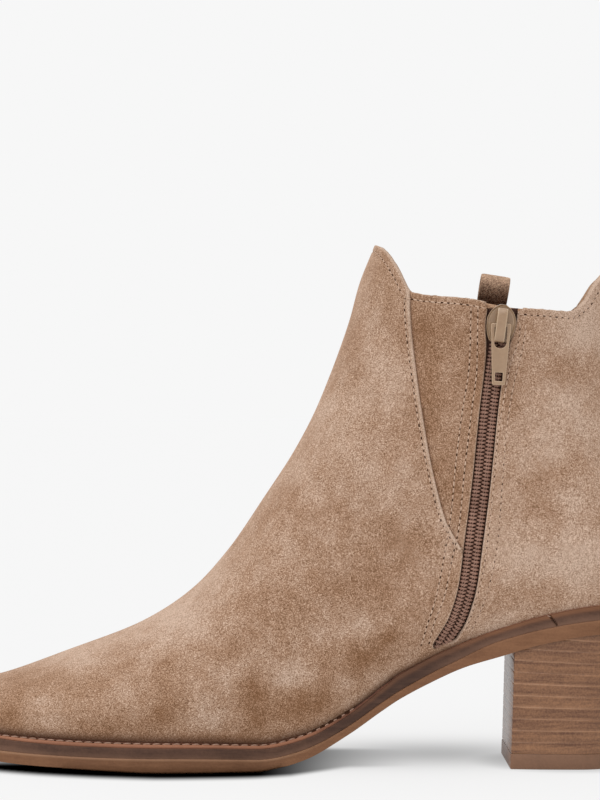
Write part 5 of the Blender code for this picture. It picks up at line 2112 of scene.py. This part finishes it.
        # Painted shade at the foot where the suede meets the welt, weaker towards the heel
        above = points[:, 2] - self.shape.sole_top(x)
        shaded = 1.0 - 0.7 * ease(x, 58.0, 74.0) - 0.35 * np.exp(-(((x - 18.0) / 9.0) ** 2))
        marks = {
            "nap": self.nap(points, name),
            "raw": raw,
            "foot": self.foot_dark * shaded * np.exp(-((np.maximum(above, 0.0) / self.foot_shade_reach) ** 2)),
        }
        both = {label: np.tile(values, 2) for label, values in marks.items()}
        return make_piece("suede_" + name, Shape(np.concatenate([outer, inner]), faces), finish, 180.0, both)

    def lining(self, palette: Palette) -> Piece:
        """Returns the lining that covers the upper's inner face up to the collar.

        Args:
            palette: Materials by slot.

        Returns:
            The lining.
        """
        rows = np.unique(np.concatenate([np.linspace(0.6, SEAT_ROW, 60), np.linspace(SEAT_ROW, TOP_ROW, 90)]))
        work = self.last_mesh(rows, 40)
        uv_layer = work.loops.layers.uv.new("weave")
        Scorer(work).cut(Score(lambda p: self.below_collar(p, False) - 0.5, lambda p: p[:, 2] > self.shaft_z))
        work.normal_update()
        centres = np.array([face.calc_center_median() for face in work.faces])
        above = self.below_collar(centres, False) < 0.5
        waste = [face for face, high in zip(work.faces, above) if high]
        bmesh.ops.delete(work, geom=waste, context="FACES")
        work.normal_update()
        moved = [(vert.co - vert.normal * (self.wall + 0.05)) * MM for vert in work.verts]
        for face in work.faces:
            for loop in face.loops:
                co = loop.vert.co
                loop[uv_layer].uv = ((co.x + 0.6 * co.y) * MM, (co.z + 0.4 * co.y) * MM)
        for vert, point in zip(work.verts, moved):
            vert.co = point
        mesh = bpy.data.meshes.new("lining")
        work.to_mesh(mesh)
        work.free()
        mesh.shade_smooth()
        mesh.materials.append(palette["lining_weave"])
        piece = bpy.data.objects.new("lining", mesh)
        bpy.context.scene.collection.objects.link(piece)
        thick = piece.modifiers.new("thickness", "SOLIDIFY")
        thick.thickness = 0.28 * MM
        thick.offset = -1.0
        return piece

    def back_row(self) -> tuple[Shape, Shape]:
        """Makes the collar's stitches round the back, where the wall faces backwards.

        Returns:
            The threads and their holes.
        """
        height = float(self.shape.collar_z(119.0)) - self.collar_row
        rows = self.shape.search_rows
        row = np.interp(height, self.shape.base_z(rows[rows >= SEAT_ROW]), rows[rows >= SEAT_ROW])
        last = float(self.shape.base_x(row))
        x = last - 4.0 * np.linspace(1.0, 0.02, 90) ** 2
        z = np.full(len(x), height)
        inner = self.shape.wall_y(x, z, Side.INSIDE)
        outer = self.shape.wall_y(x, z, Side.OUTSIDE)
        path = np.stack([np.append(x, x[::-1]), np.append(inner, outer[::-1]), np.append(z, z)], -1)
        places, along = even_stations(path, self.pitch)
        normals = np.cross(along, np.array([0.0, 0.0, 1.0]))
        normals *= np.where(normals[:, :1] < 0.0, -1.0, 1.0)
        frames = frames_on(normals, along)
        threads = places - normals * (self.groove - 0.15)
        # Painted shade: dark bars at the needle holes
        holes = places + 0.5 * self.pitch * along - normals * self.groove
        return stamp(self.thread, threads, frames), stamp(self.hole_shade, holes, frames)

    def stitch_row(self, x: Array, z: Array, side: Side, deep: bool = True) -> tuple[Shape, Shape]:
        """Makes one row of stitches and dark bars in the needle holes between them, a painted shade.

        Args:
            x: Places of the row in the side view.
            z: Heights of the row.
            side: Which side of the boot.
            deep: Whether its needle holes show well.

        Returns:
            The threads and the holes.
        """
        dense, _ = self.shape.suede_wall(x, z, side)
        places, along = even_stations(dense, self.pitch)
        shapes = []
        for share in (-0.5, 0.0):
            spots = places + share * self.pitch * along
            points, normals = self.shape.suede_wall(spots[:, 0], spots[:, 2], side)
            names = self.panel_names(points)
            sunk = np.where(names == "main", 0.0, self.recess(points)) + self.groove
            keep = names != "waste"
            centres = points - normals * sunk[:, None]
            shapes.append((centres[keep], frames_on(normals[keep], along[keep]), normals[keep]))
        (holes, hole_frames, _), (threads, thread_frames, out) = shapes
        # Dark bars in the needle holes: painted shade
        hole_shade = self.hole_shade if deep else self.small_hole_shade
        hole_frames = hole_frames * self.draw.uniform(0.6, 1.1, (len(holes), 1, 1))
        thread_frames = thread_frames * self.draw.uniform(0.85, 1.12, (len(threads), 1, 1))
        return stamp(self.thread, threads + 0.15 * out, thread_frames), stamp(hole_shade, holes, hole_frames)

    def stitch_lines(self) -> list[tuple[Array, Array, Side, bool]]:
        """Returns the side-view line of every row of stitches and whether its holes show well.

        Returns:
            Places, heights, side and whether the holes show.
        """
        shape = self.shape
        lines = []
        heights = np.linspace(self.panel_foot + 0.8, self.seam_top, 160)
        for side in Side:
            lines.append((shape.seam_x(heights) - self.seam_row * 1.02, heights, side, True))
        outer_x = shape.zip_x(heights) + self.seam_row * 1.02
        lines.append((outer_x, np.minimum(heights, self.outer_top), Side.OUTSIDE, True))
        for row, line in zip(ZIP_ROWS, self.rows):
            z = np.linspace(row.low, row.top, 160)
            lines.append((line(z), z, Side.INSIDE, row.deep))
        for side in Side:
            for start, end in self.collar_spans:
                x = np.linspace(start, end, 240)
                slope = slope_of(shape.collar_z, x)
                length = np.hypot(1.0, slope)
                row_x = x + self.collar_row * slope / length
                row_z = shape.collar_z(x) - self.collar_row / length
                at = 0 if start > NOTCH.x else len(row_x)
                lines.append((np.insert(row_x, at, NOTCH.x), np.insert(row_z, at, NOTCH.z), side, True))
        return lines

    def build(self, palette: Palette) -> None:
        """Makes the panels, the lining and the stitches.

        Args:
            palette: Materials by slot.
        """
        work = self.skin()
        nodes = {"main": ["upper"], "inner_panel": [], "outer_panel": []}
        for name, solids in nodes.items():
            fit(self.panel(work, name, palette["suede"]), solids)
        work.free()
        fit(self.lining(palette))
        rows = [self.stitch_row(*line) for line in self.stitch_lines()] + [self.back_row()]
        threads = join([row[0] for row in rows])
        holes = join([row[1] for row in rows])
        fit(make_piece("upper_stitches", threads, palette["thread"], 60.0))
        # The needle holes' dark bars are painted shade
        fit(make_piece("upper_needle_hole_shade", holes, palette["needle_hole_shade"], 60.0))


@dataclass
class Zip:
    """The closed coil zip with its tape, slider and pull tab.

    Attributes:
        tooth_pitch: Distance from coil to coil.
        tape_depth: How deep the tape lies under the quarter's face.
        coil_depth: How deep the coils' middle lies.
        coil_radius: Radius of the coil's wire.
        coil_half: Half width of the row of coils.
        hinge_up: Place of the tab's hinge along the zip, from the slider's middle.
        hinge_out: Distance of the hinge from the wall.
        hang: How far the tab hangs aside, in degrees.
        tab_bar: Half thickness of the bar at the tab's top.
    """

    shape: BootShape
    upper: Upper
    foot: float = 40.4
    chain_top: float = 147.0
    tape_top: float = 156.4
    tooth_pitch: float = 1.28
    tape_depth: float = 1.7
    coil_depth: float = 1.2
    coil_radius: float = 0.4
    coil_half: float = 2.55
    slider_z: float = 151.5
    slider_floor: float = -0.2
    slider_face: float = 1.6
    bridge_half: float = 1.72
    bridge_under: float = 3.6
    bridge_top: float = 4.6
    bridge_low: float = -6.5
    bridge_high: float = 5.2
    bridge_leg: float = 1.4
    bridge_foot: float = 1.2
    hinge_up: float = -0.65
    hinge_out: float = 2.65
    hang: float = 5.0
    tab_thickness: float = 1.2
    tab_length: float = 20.2
    tab_half_top: float = 3.4
    tab_half_end: float = 2.2
    tab_bar: float = 0.58
    tab_eye_half: float = 2.1
    tab_eye_end: float = 7.85
    tab_hole_half: float = 1.3
    tab_hole_from: float = 16.0
    tab_hole_to: float = 18.9

    def chain_line(self, low: float, high: float, depth: float) -> tuple[Array, Array]:
        """Returns the zip's middle line between two heights and the wall's normals along it.

        Args:
            low: Lower end.
            high: Upper end.
            depth: Depth below the suede.

        Returns:
            Points and normals.
        """
        z = np.linspace(low, high, 400)
        points, normals = self.shape.suede_wall(self.shape.zip_x(z), z, Side.INSIDE)
        return points - depth * normals, normals

    def build(self, palette: Palette) -> None:
        """Makes tape, coils, slider and tab.

        Args:
            palette: Materials by slot.
        """
        self.build_tape(palette)
        self.build_coils(palette)
        place = self.slider_frame()
        self.build_slider(palette, place)
        self.build_tab(palette, place)

    def build_tape(self, palette: Palette) -> None:
        """Makes the woven tape that closes the slot behind the coils.

        Args:
            palette: Materials by slot.
        """
        z = np.linspace(self.foot - 0.8, self.tape_top, 120)
        shares = np.linspace(0.0, 1.0, 9)
        front, back = self.upper.slot_edge(z, -1.0, 0.08), self.upper.slot_edge(z, 1.0, 0.08)
        x = front[:, None] + shares * (back - front)[:, None]
        heights = np.repeat(z, len(shares))
        points, normals = self.shape.suede_wall(x.ravel(), heights, Side.INSIDE)
        face = points - normals * self.tape_depth
        piece = make_piece("zip_tape", Shape(face, grid_faces(len(z), len(shares))), palette["zip_tape"])
        layer = piece.data.uv_layers.new(name="weave")
        for loop in piece.data.loops:
            co = face[loop.vertex_index] * MM
            layer.data[loop.index].uv = (co[2], co[0])
        thick = piece.modifiers.new("thickness", "SOLIDIFY")
        thick.thickness = 0.25 * MM
        thick.offset = 0.0
        fit(piece, ["zip_chain"])

    def build_coils(self, palette: Palette) -> None:
        """Makes the two rows of interlocked coils and the threads that hold them.

        Args:
            palette: Materials by slot.
        """
        path, normals = self.chain_line(self.foot, self.chain_top, self.coil_depth)
        places, along = even_stations(path, self.tooth_pitch)
        out = at_places(places[:, 2], path[:, 2], normals)
        frames = np.stack([unit(np.cross(along, out)), along, out], -1)
        half = self.coil_half
        # Middle line of one tooth's wire: across, along and out from the chain
        profile = np.array([
            (half, 0.0, -0.75), (half - 0.04, 0.0, -0.3), (half - 0.32, 0.02, 0.1), (0.62 * half, 0.05, 0.26),
            (0.34 * half, 0.08, 0.2), (0.2 * half, 0.1, -0.02), (0.12 * half, 0.12, -0.45),
        ])
        coils = []
        for sign, shift in ((1.0, 0.0), (-1.0, 0.5)):
            tooth = tube(profile * np.array([sign, 1.0, 1.0]), self.coil_radius, 9, (0.0, 1.0, 0.0))
            coils.append(stamp(tooth, places + shift * self.tooth_pitch * along, frames))
        fit(make_piece("zip_coils", join(coils), palette["zip_coil"], 60.0))

        dense, dense_normals = self.chain_line(self.foot + 0.3, self.chain_top, self.coil_depth)
        runs = distances(dense)
        marks = np.arange(0.0, runs[-1], self.tooth_pitch / 6)
        middle, face = at_places(marks, runs, dense), at_places(marks, runs, dense_normals)
        aside = np.cross(unit(np.gradient(middle, axis=0)), face)
        threads = []
        # Threads lie at these shares of the half width, each with its own start in the wave
        for offset, shift in ((0.46, 0.0), (0.74, 0.12), (-0.46, 0.5), (-0.74, 0.62)):
            turn = 2 * math.pi * (marks / self.tooth_pitch - shift)
            sideways, outward = offset * half + 0.2 * np.sin(turn), 0.3 + 0.4 * np.cos(turn)
            lane = middle + aside * sideways[:, None] + face * outward[:, None]
            threads.append(tube(lane, 0.2, 6, (0.0, -1.0, 0.1)))
        fit(make_piece("zip_coil_threads", join(threads), palette["zip_thread"], 60.0))

    def slider_frame(self) -> Matrix:
        """Returns the slider's frame in millimetres: across the zip, along it and out from the wall.

        Returns:
            The frame.
        """
        step = 1.0
        z = np.array([self.slider_z])
        x = self.shape.zip_x(z)
        wall = self.shape.wall_y
        place = Vector((float(x[0]), float(wall(x, z, Side.INSIDE)[0]), self.slider_z))
        slope_x = (wall(x + step, z, Side.INSIDE) - wall(x - step, z, Side.INSIDE))[0] / (2 * step)
        slope_z = (wall(x, z + step, Side.INSIDE) - wall(x, z - step, Side.INSIDE))[0] / (2 * step)
        out = Vector((slope_x, -1.0, slope_z)).normalized()
        lean = (self.shape.zip_x(z + step) - self.shape.zip_x(z - step))[0] / (2 * step)
        along = Vector((lean, 0.0, 1.0))
        along = (along - along.dot(out) * out).normalized()
        across = along.cross(out)
        place_frame = Matrix((across, along, out)).transposed().to_4x4()
        place_frame.translation = place
        return place_frame

    @staticmethod
    def slab(
        outline: Sequence[tuple[float, float]], low: float, high: float, axes: Sequence[int] = (0, 1, 2)
    ) -> Shape:
        """Returns a slab: an outline in two axes with a low and a high end along the third.

        Args:
            outline: Corners.
            low: Low end.
            high: High end.
            axes: Both axes, then the third.

        Returns:
            The slab.
        """
        points = np.zeros((2, len(outline), 3))
        points[:, :, axes[:2]] = np.array(outline)
        points[:, :, axes[2]] = np.array([[low], [high]])
        return rings_shape(points)

    @staticmethod
    def soften(piece: Piece, width: float) -> None:
        """Rounds a metal piece's edges and marks them for a painted highlight.

        Args:
            piece: Piece to change.
            width: Width of the rounding.
        """
        work = bmesh.new()
        work.from_mesh(piece.data)
        # The rounded edges carry a painted highlight
        wear_and_painted_highlight = work.faces.layers.float.new("wear_and_painted_highlight")
        sharp = [edge for edge in work.edges if edge.calc_face_angle(0.0) > math.radians(40.0)]
        settings = {"segments": 3, "profile": 0.5, "affect": "EDGES", "clamp_overlap": True}
        done = bmesh.ops.bevel(work, geom=sharp, offset=width * MM, **settings)
        for face in done["faces"]:
            face[wear_and_painted_highlight] = 1.0
        work.to_mesh(piece.data)
        work.free()
        piece.data.shade_smooth()
        piece.data.set_sharp_from_angle(angle=math.radians(40.0))

    @staticmethod
    def dish(piece: Piece, rim: float, depth: float) -> None:
        """Sinks a plate's face inside a rim.

        Args:
            piece: Piece to change.
            rim: Width of the rim.
            depth: How far the face sinks.
        """
        work = bmesh.new()
        work.from_mesh(piece.data)
        face = max(work.faces, key=lambda f: f.calc_center_median().z)
        bmesh.ops.inset_region(work, faces=[face], thickness=rim * MM, depth=-depth * MM)
        work.to_mesh(piece.data)
        work.free()

    @staticmethod
    def put_in_frame(piece: Piece, place: Matrix) -> None:
        """Moves a piece's mesh into a frame given in millimetres.

        Args:
            piece: Piece to change.
            place: The frame.
        """
        metres = place.copy()
        metres.translation = place.translation * MM
        piece.data.transform(metres)

    def arch(self, inset: float, top: float, power: float) -> list[tuple[float, float]]:
        """Returns the upper or lower line of the bridge, along the zip and out from the wall.

        Args:
            inset: How far the feet stand in.
            top: Height of the top.
            power: How square it is.

        Returns:
            Points of the line.
        """
        middle = (self.bridge_low + self.bridge_high) / 2
        reach = (self.bridge_high - self.bridge_low) / 2 - inset
        low = self.bridge_foot
        turns = np.linspace(0.0, math.pi, 17)
        along = [middle - reach * squared(math.cos(turn), power) for turn in turns]
        out = [low + (top - low) * squared(math.sin(turn), power) for turn in turns]
        return list(zip(along, out))

    def build_slider(self, palette: Palette, place: Matrix) -> None:
        """Makes the slider's plate, its rim and the bridge over the tab's bar.

        Args:
            palette: Materials by slot.
            place: Frame of the slider, in millimetres.
        """
        half = half_width(SLIDER_EDGE)
        alongs = np.linspace(SLIDER_EDGE[0].at, SLIDER_EDGE[-1].at, 25)
        right = [(float(half(t)), float(t)) for t in alongs]
        outline = right + [(-x, t) for x, t in right[::-1]]
        solid = self.slab(outline, self.slider_floor, self.slider_face)
        plate = make_piece("slider_plate", solid, palette["zip_paint"])
        self.dish(plate, 0.7, 0.7)
        self.soften(plate, 0.22)
        self.put_in_frame(plate, place)
        fit(plate, ["zip_slider"])

        under = self.arch(self.bridge_leg, self.bridge_under, 0.35)
        outline = self.arch(0.0, self.bridge_top, 0.45) + under[::-1]
        solid = self.slab(outline, -self.bridge_half, self.bridge_half, (1, 2, 0))
        bridge = make_piece("slider_bridge", solid, palette["zip_paint"])
        self.soften(bridge, 0.35)
        self.put_in_frame(bridge, place)
        fit(bridge)

    def build_tab(self, palette: Palette, place: Matrix) -> None:
        """Makes the pull tab with its eye and square hole, on the slider's bar.

        Args:
            palette: Materials by slot.
            place: Frame of the slider, in millimetres.
        """
        turned = place @ Matrix.Rotation(math.radians(self.hang), 4, "Z")
        turned.translation = place @ Vector((0.0, self.hinge_up, self.hinge_out))
        outer = []
        for angle in np.linspace(0.0, math.pi / 2, 5):
            corner = 0.55
            outer.append((
                self.tab_half_end - corner + corner * math.sin(angle),
                -self.tab_length + corner - corner * math.cos(angle),
            ))
        wide, bar = self.tab_half_top, self.tab_bar
        outer += [(wide - 0.25, -3.6), (wide, -2.2), (wide, bar - 0.5)]
        outer += [(wide - 0.15, bar - 0.15), (wide - 0.5, bar)]
        outline = outer + [(-x, y) for x, y in outer[::-1]]
        eye = [(-self.tab_eye_half, -self.tab_bar)]
        for angle in np.linspace(math.pi, 2 * math.pi, 15):
            eye.append((
                self.tab_eye_half * math.cos(angle),
                -self.tab_eye_end + self.tab_eye_half + self.tab_eye_half * math.sin(angle),
            ))
        eye.append((self.tab_eye_half, -self.tab_bar))
        side = self.tab_hole_half
        near, far = -self.tab_hole_from, -self.tab_hole_to
        hole = [(-side, far), (side, far), (side, near), (-side, near)]
        thick = self.tab_thickness / 2
        tab = make_piece("pull_tab", self.slab(outline, -thick, thick), palette["zip_paint"])
        for name, cut in (("eye", eye), ("hole", hole)):
            tool = make_piece("cut_" + name, self.slab(cut, -2 * thick, 2 * thick), palette["zip_paint"])
            knife = tab.modifiers.new(name, "BOOLEAN")
            knife.operation = "DIFFERENCE"
            knife.solver = "EXACT"
            knife.object = tool
        bpy.context.view_layer.update()
        cut_mesh = bpy.data.meshes.new_from_object(tab.evaluated_get(bpy.context.evaluated_depsgraph_get()))
        tab.modifiers.clear()
        tab.data = cut_mesh
        for name in ("cut_eye", "cut_hole"):
            bpy.data.objects.remove(bpy.data.objects[name])
        cut_mesh.shade_smooth()
        cut_mesh.set_sharp_from_angle(angle=math.radians(40.0))
        self.soften(tab, 0.2)
        self.put_in_frame(tab, turned)
        fit(tab, ["zip_pull"], "zip_pull")


@dataclass
class PullLoop:
    """The folded woven strap on the inside of the outer collar.

    Attributes:
        x: Where it stands along the boot.
        z: Height of the collar there.
        width: The strap's width.
        tilt: How far it leans along the boot, in degrees.
        strap: The strap's thickness.
        clear: Gap between the strap and the lining.
        wall: Thickness of the upper's wall.
        tail: Length of the two ends below the collar.
        start: Height of the loop's lower end over the collar.
        rise: Height of the loop.
        bulge: How far the loop opens to each side.
        pinch: Share of the bulge that is left at its foot.
    """

    shape: BootShape
    x: float = 75.8
    z: float = 157.6
    width: float = 10.4
    tilt: float = 9.0
    strap: float = 1.3
    clear: float = 0.45
    wall: float = 2.2
    tail: float = 13.0
    start: float = 1.4
    rise: float = 10.4
    bulge: float = 5.6
    pinch: float = 0.55

    def path(self) -> Array:
        """Returns the strap's middle line, across the wall and up, from one tail to the other.

        Returns:
            Points of the line.
        """
        half = self.strap / 2
        middle = self.start + self.rise / 2
        loop = []
        for angle in np.linspace(math.radians(-62.0), math.radians(242.0), 61):
            share = 0.5 + 0.5 * math.sin(angle)
            belly = self.bulge * math.cos(angle) * (self.pinch + (1.0 - self.pinch) * share)
            loop.append((belly, middle + self.rise / 2 * math.sin(angle)))
        tail = [(half, h) for h in np.linspace(-self.tail, 0.0, 12)]
        back = [(-half, h) for h in np.linspace(0.0, -self.tail, 12)]
        points = np.array(tail + loop + back)
        for _ in range(3):
            points[1:-1] = 0.25 * points[:-2] + 0.5 * points[1:-1] + 0.25 * points[2:]
        return points

    def build(self, palette: Palette) -> None:
        """Makes the strap.

        Args:
            palette: Materials by slot.
        """
        path = self.path()
        tangents = unit(np.gradient(path, axis=0))
        normals = np.stack([tangents[:, 1], -tangents[:, 0]], -1)
        half, thick = self.width / 2, self.strap / 2 - 0.05
        section = np.array([
            (half * squared(math.cos(angle), 0.25), thick * squared(math.sin(angle), 0.5))
            for angle in np.linspace(0.0, 2 * math.pi, 24, endpoint=False)
        ])
        rings = np.zeros((len(path), len(section), 3))
        rings[..., 0] = section[:, 0]
        rings[..., 1] = path[:, 0, None] + normals[:, 0, None] * section[:, 1]
        rings[..., 2] = path[:, 1, None] + normals[:, 1, None] * section[:, 1]
        solid = rings_shape(rings)
        runs = distances(path)
        # Painted shade: the strap darkens from its top down into the boot's opening
        depth = np.repeat(1.0 - ease(path[:, 1], 0.5, 12.0), len(section))
        piece = make_piece("pull_loop_strap", solid, palette["strap_weave"], 60.0, {"deep": depth})
        layer = piece.data.uv_layers.new(name="weave")
        around = len(section)
        for loop in piece.data.loops:
            ring, spoke = divmod(loop.vertex_index, around)
            layer.data[loop.index].uv = (runs[ring] * MM, section[spoke, 0] * MM)
        edges = np.array([self.x - half, self.x + half])
        top = self.shape.wall_y(edges, np.full(2, self.z), Side.OUTSIDE).min()
        foot = self.shape.wall_y(edges, np.full(2, self.z - self.tail), Side.OUTSIDE).min()
        lean = math.atan2(top - foot, self.tail)
        seat = Vector((self.x, top - self.wall - self.clear - self.strap, self.z)) * MM
        turn = Matrix.Rotation(-lean, 4, "X") @ Matrix.Rotation(math.radians(self.tilt), 4, "Y")
        piece.data.transform(Matrix.Translation(seat) @ turn)
        fit(piece, ["pull_loop"])


class Shade(NamedTuple):
    """A soft round painted shade on the floor: its middle, its reach along and across, and how dark it is."""

    x: float
    y: float
    reach_x: float
    reach_y: float
    dark: float


ARCH_SHADE = Shade(55.0, 28.0, 46.0, 38.0, 0.42)
HEEL_SHADE = Shade(103.0, 0.0, 25.0, 27.0, 0.25)


@dataclass
class Studio:
    """A pale floor with a painted shade round the boot, soft light from all round and the photograph's
    camera.

    Attributes:
        camera_at: Where the camera stands, in metres.
        lens: Its focal length in millimetres.
        backdrop: Brightness of the surroundings behind the boot.
        fill: Strength of the light that comes from all round.
        floor_tone: How much light the floor gives back.
        floor_glow: How much light the floor gives by itself.
        floor_size: Its width in metres.
        fore_reach: How far the painted shade under the forefoot spreads.
        far_reach: How far the arch's painted shade spreads behind its middle.
    """

    shape: BootShape
    camera_at: tuple[float, float, float] = (0.008, -1.15, 0.1255)
    lens: float = 149.04
    backdrop: float = 0.93
    fill: float = 0.68
    floor_tone: float = 0.14
    floor_glow: float = 0.765
    floor_size: float = 40.0
    fore_reach: float = 17.0
    far_reach: float = 42.0

    def build(self) -> None:
        """Makes camera, lights, surroundings and floor."""
        scene = bpy.context.scene
        scene.view_settings.view_transform = "Standard"
        lens = bpy.data.cameras.new("camera")
        lens.lens = self.lens
        lens.sensor_width = 36.0
        lens.clip_start = 0.05
        camera = bpy.data.objects.new("camera", lens)
        camera.location = self.camera_at
        camera.rotation_euler = (math.pi / 2, 0.0, 0.0)
        scene.collection.objects.link(camera)
        scene.camera = camera

        world = bpy.data.worlds.new("studio_air")
        world.use_nodes = True
        wiring = Wiring(world.node_tree)
        shader = world.node_tree.nodes["Background"]
        seen = wiring.put("LightPath").outputs["Is Camera Ray"]
        strength = wiring.span(seen, 0.0, 1.0, self.fill, self.backdrop)
        wiring.feed(shader, {"Color": (1.0, 1.0, 1.0, 1.0), "Strength": strength})
        scene.world = world

        self.sun("key_light", 1.5, 80.0, (math.radians(32.0), math.radians(-20.0), 0.0))
        self.sun("back_light", 0.5, 90.0, (math.radians(-48.0), math.radians(12.0), 0.0))

        self.floor()

    def floor(self) -> Piece:
        """Returns the floor, a pale table that glows a little, with painted shade that darkens its colour and
        glow close to where the boot stands.

        Returns:
            The floor.
        """
        near_x = np.arange(-0.2, 0.2, 0.0025)
        near_y = np.arange(-0.12, 0.12, 0.0025)
        far = np.array([0.3, 0.6, 1.5, 5.0, self.floor_size / 2])
        xs = np.concatenate([-far[::-1], near_x, far])
        ys = np.concatenate([-far[::-1], near_y, far])
        points = np.array([(x, y, 0.0) for y in ys for x in xs]) / MM
        faces = grid_faces(len(ys), len(xs))
        material = bpy.data.materials.new("floor_white")
        material.use_nodes = True
        wiring = Wiring(material.node_tree)
        shader = material.node_tree.nodes["Principled BSDF"]
        black, white = (0.0, 0.0, 0.0, 1.0), (1.0, 1.0, 1.0, 1.0)
        pale = (self.floor_tone, self.floor_tone, self.floor_tone, 1.0)
        # Painted shade round the boot darkens the floor's colour and its glow
        free_of_painted_shade = wiring.mark("free_of_painted_shade")
        inputs = {
            "Roughness": 1.0, "Specular IOR Level": 0.0, "Emission Strength": self.floor_glow,
            "Base Color": wiring.mix(free_of_painted_shade, black, pale), "Emission Color": wiring.mix(free_of_painted_shade, black, white),
        }
        wiring.feed(shader, inputs)
        return make_piece("floor", Shape(points, faces), material, 40.0, {"free_of_painted_shade": self.free_of_painted_shade(points)})

    def free_of_painted_shade(self, points: Array) -> Array:
        """Returns how free of the painted soft contact shade round the boot each place on the floor is.

        Args:
            points: Places in millimetres, one per row.

        Returns:
            One value per point.
        """
        x, y = points[:, 0], points[:, 1]
        toe, ball = -96.0, -6.0
        near_x = np.clip(x, toe, ball)
        inner, outer = (np.interp(near_x, *self.shape.feather_line[side]) for side in Side)
        # How far the painted shade runs out in front of the sole's inner edge, from toe to waist
        stations = (toe, -80.0, -60.0, -40.0, ball, 5.0, 24.0)
        lead = np.interp(x, stations, (-8.0, -3.0, 1.0, 4.0, 4.0, -3.0, -28.0))
        across = np.maximum(np.maximum(inner - lead - y, y - outer + 8.0), 0.0)
        along = (x - near_x) * np.where(x > near_x, 0.3, 1.0)
        under_toe = ease(-x, 66.0, 100.0) * ease(y, -14.0, 8.0)
        fore = (1.0 - ease(np.hypot(along, across), 0.0, self.fore_reach)) * (1.0 - 0.6 * under_toe)
        spot = ARCH_SHADE
        reach = np.where(y > spot.y, self.far_reach, spot.reach_y)
        arch = spot.dark * np.exp(-(((y - spot.y) / reach) ** 2) - ((x - spot.x) / spot.reach_x) ** 2)
        spot = HEEL_SHADE
        mean_reach = (spot.reach_x + spot.reach_y) / 2
        off_heel = mean_reach * (np.hypot((x - spot.x) / spot.reach_x, (y - spot.y) / spot.reach_y) - 1.0)
        heel = spot.dark * (1.0 - ease(off_heel, -2.0, 14.0))
        return (1.0 - fore) * (1.0 - arch) * (1.0 - heel)

    @staticmethod
    def sun(name: str, strength: float, spread: float, turn: tuple[float, float, float]) -> None:
        """Adds a soft light that falls evenly, with its spread in degrees.

        Args:
            name: Name of the light.
            strength: Strength.
            spread: Spread in degrees.
            turn: Turn.
        """
        light = bpy.data.lights.new(name, "SUN")
        light.energy = strength
        light.angle = math.radians(spread)
        lamp = bpy.data.objects.new(name, light)
        lamp.rotation_euler = turn
        bpy.context.scene.collection.objects.link(lamp)


def main() -> None:
    """Builds the boot's sub-assemblies in order, then the studio."""
    logging.basicConfig(level=logging.INFO, format="%(message)s")
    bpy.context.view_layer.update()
    effects = EffectKit()
    palette = {finish.name: finish.build(effects) for finish in FINISHES}
    shape = BootShape()
    upper = Upper(shape)
    Sole(shape).build(palette)
    Heel(shape).build(palette)
    upper.build(palette)
    Zip(shape, upper).build(palette)
    PullLoop(shape).build(palette)
    Studio(shape).build()


if __name__ == "__main__":
    main()
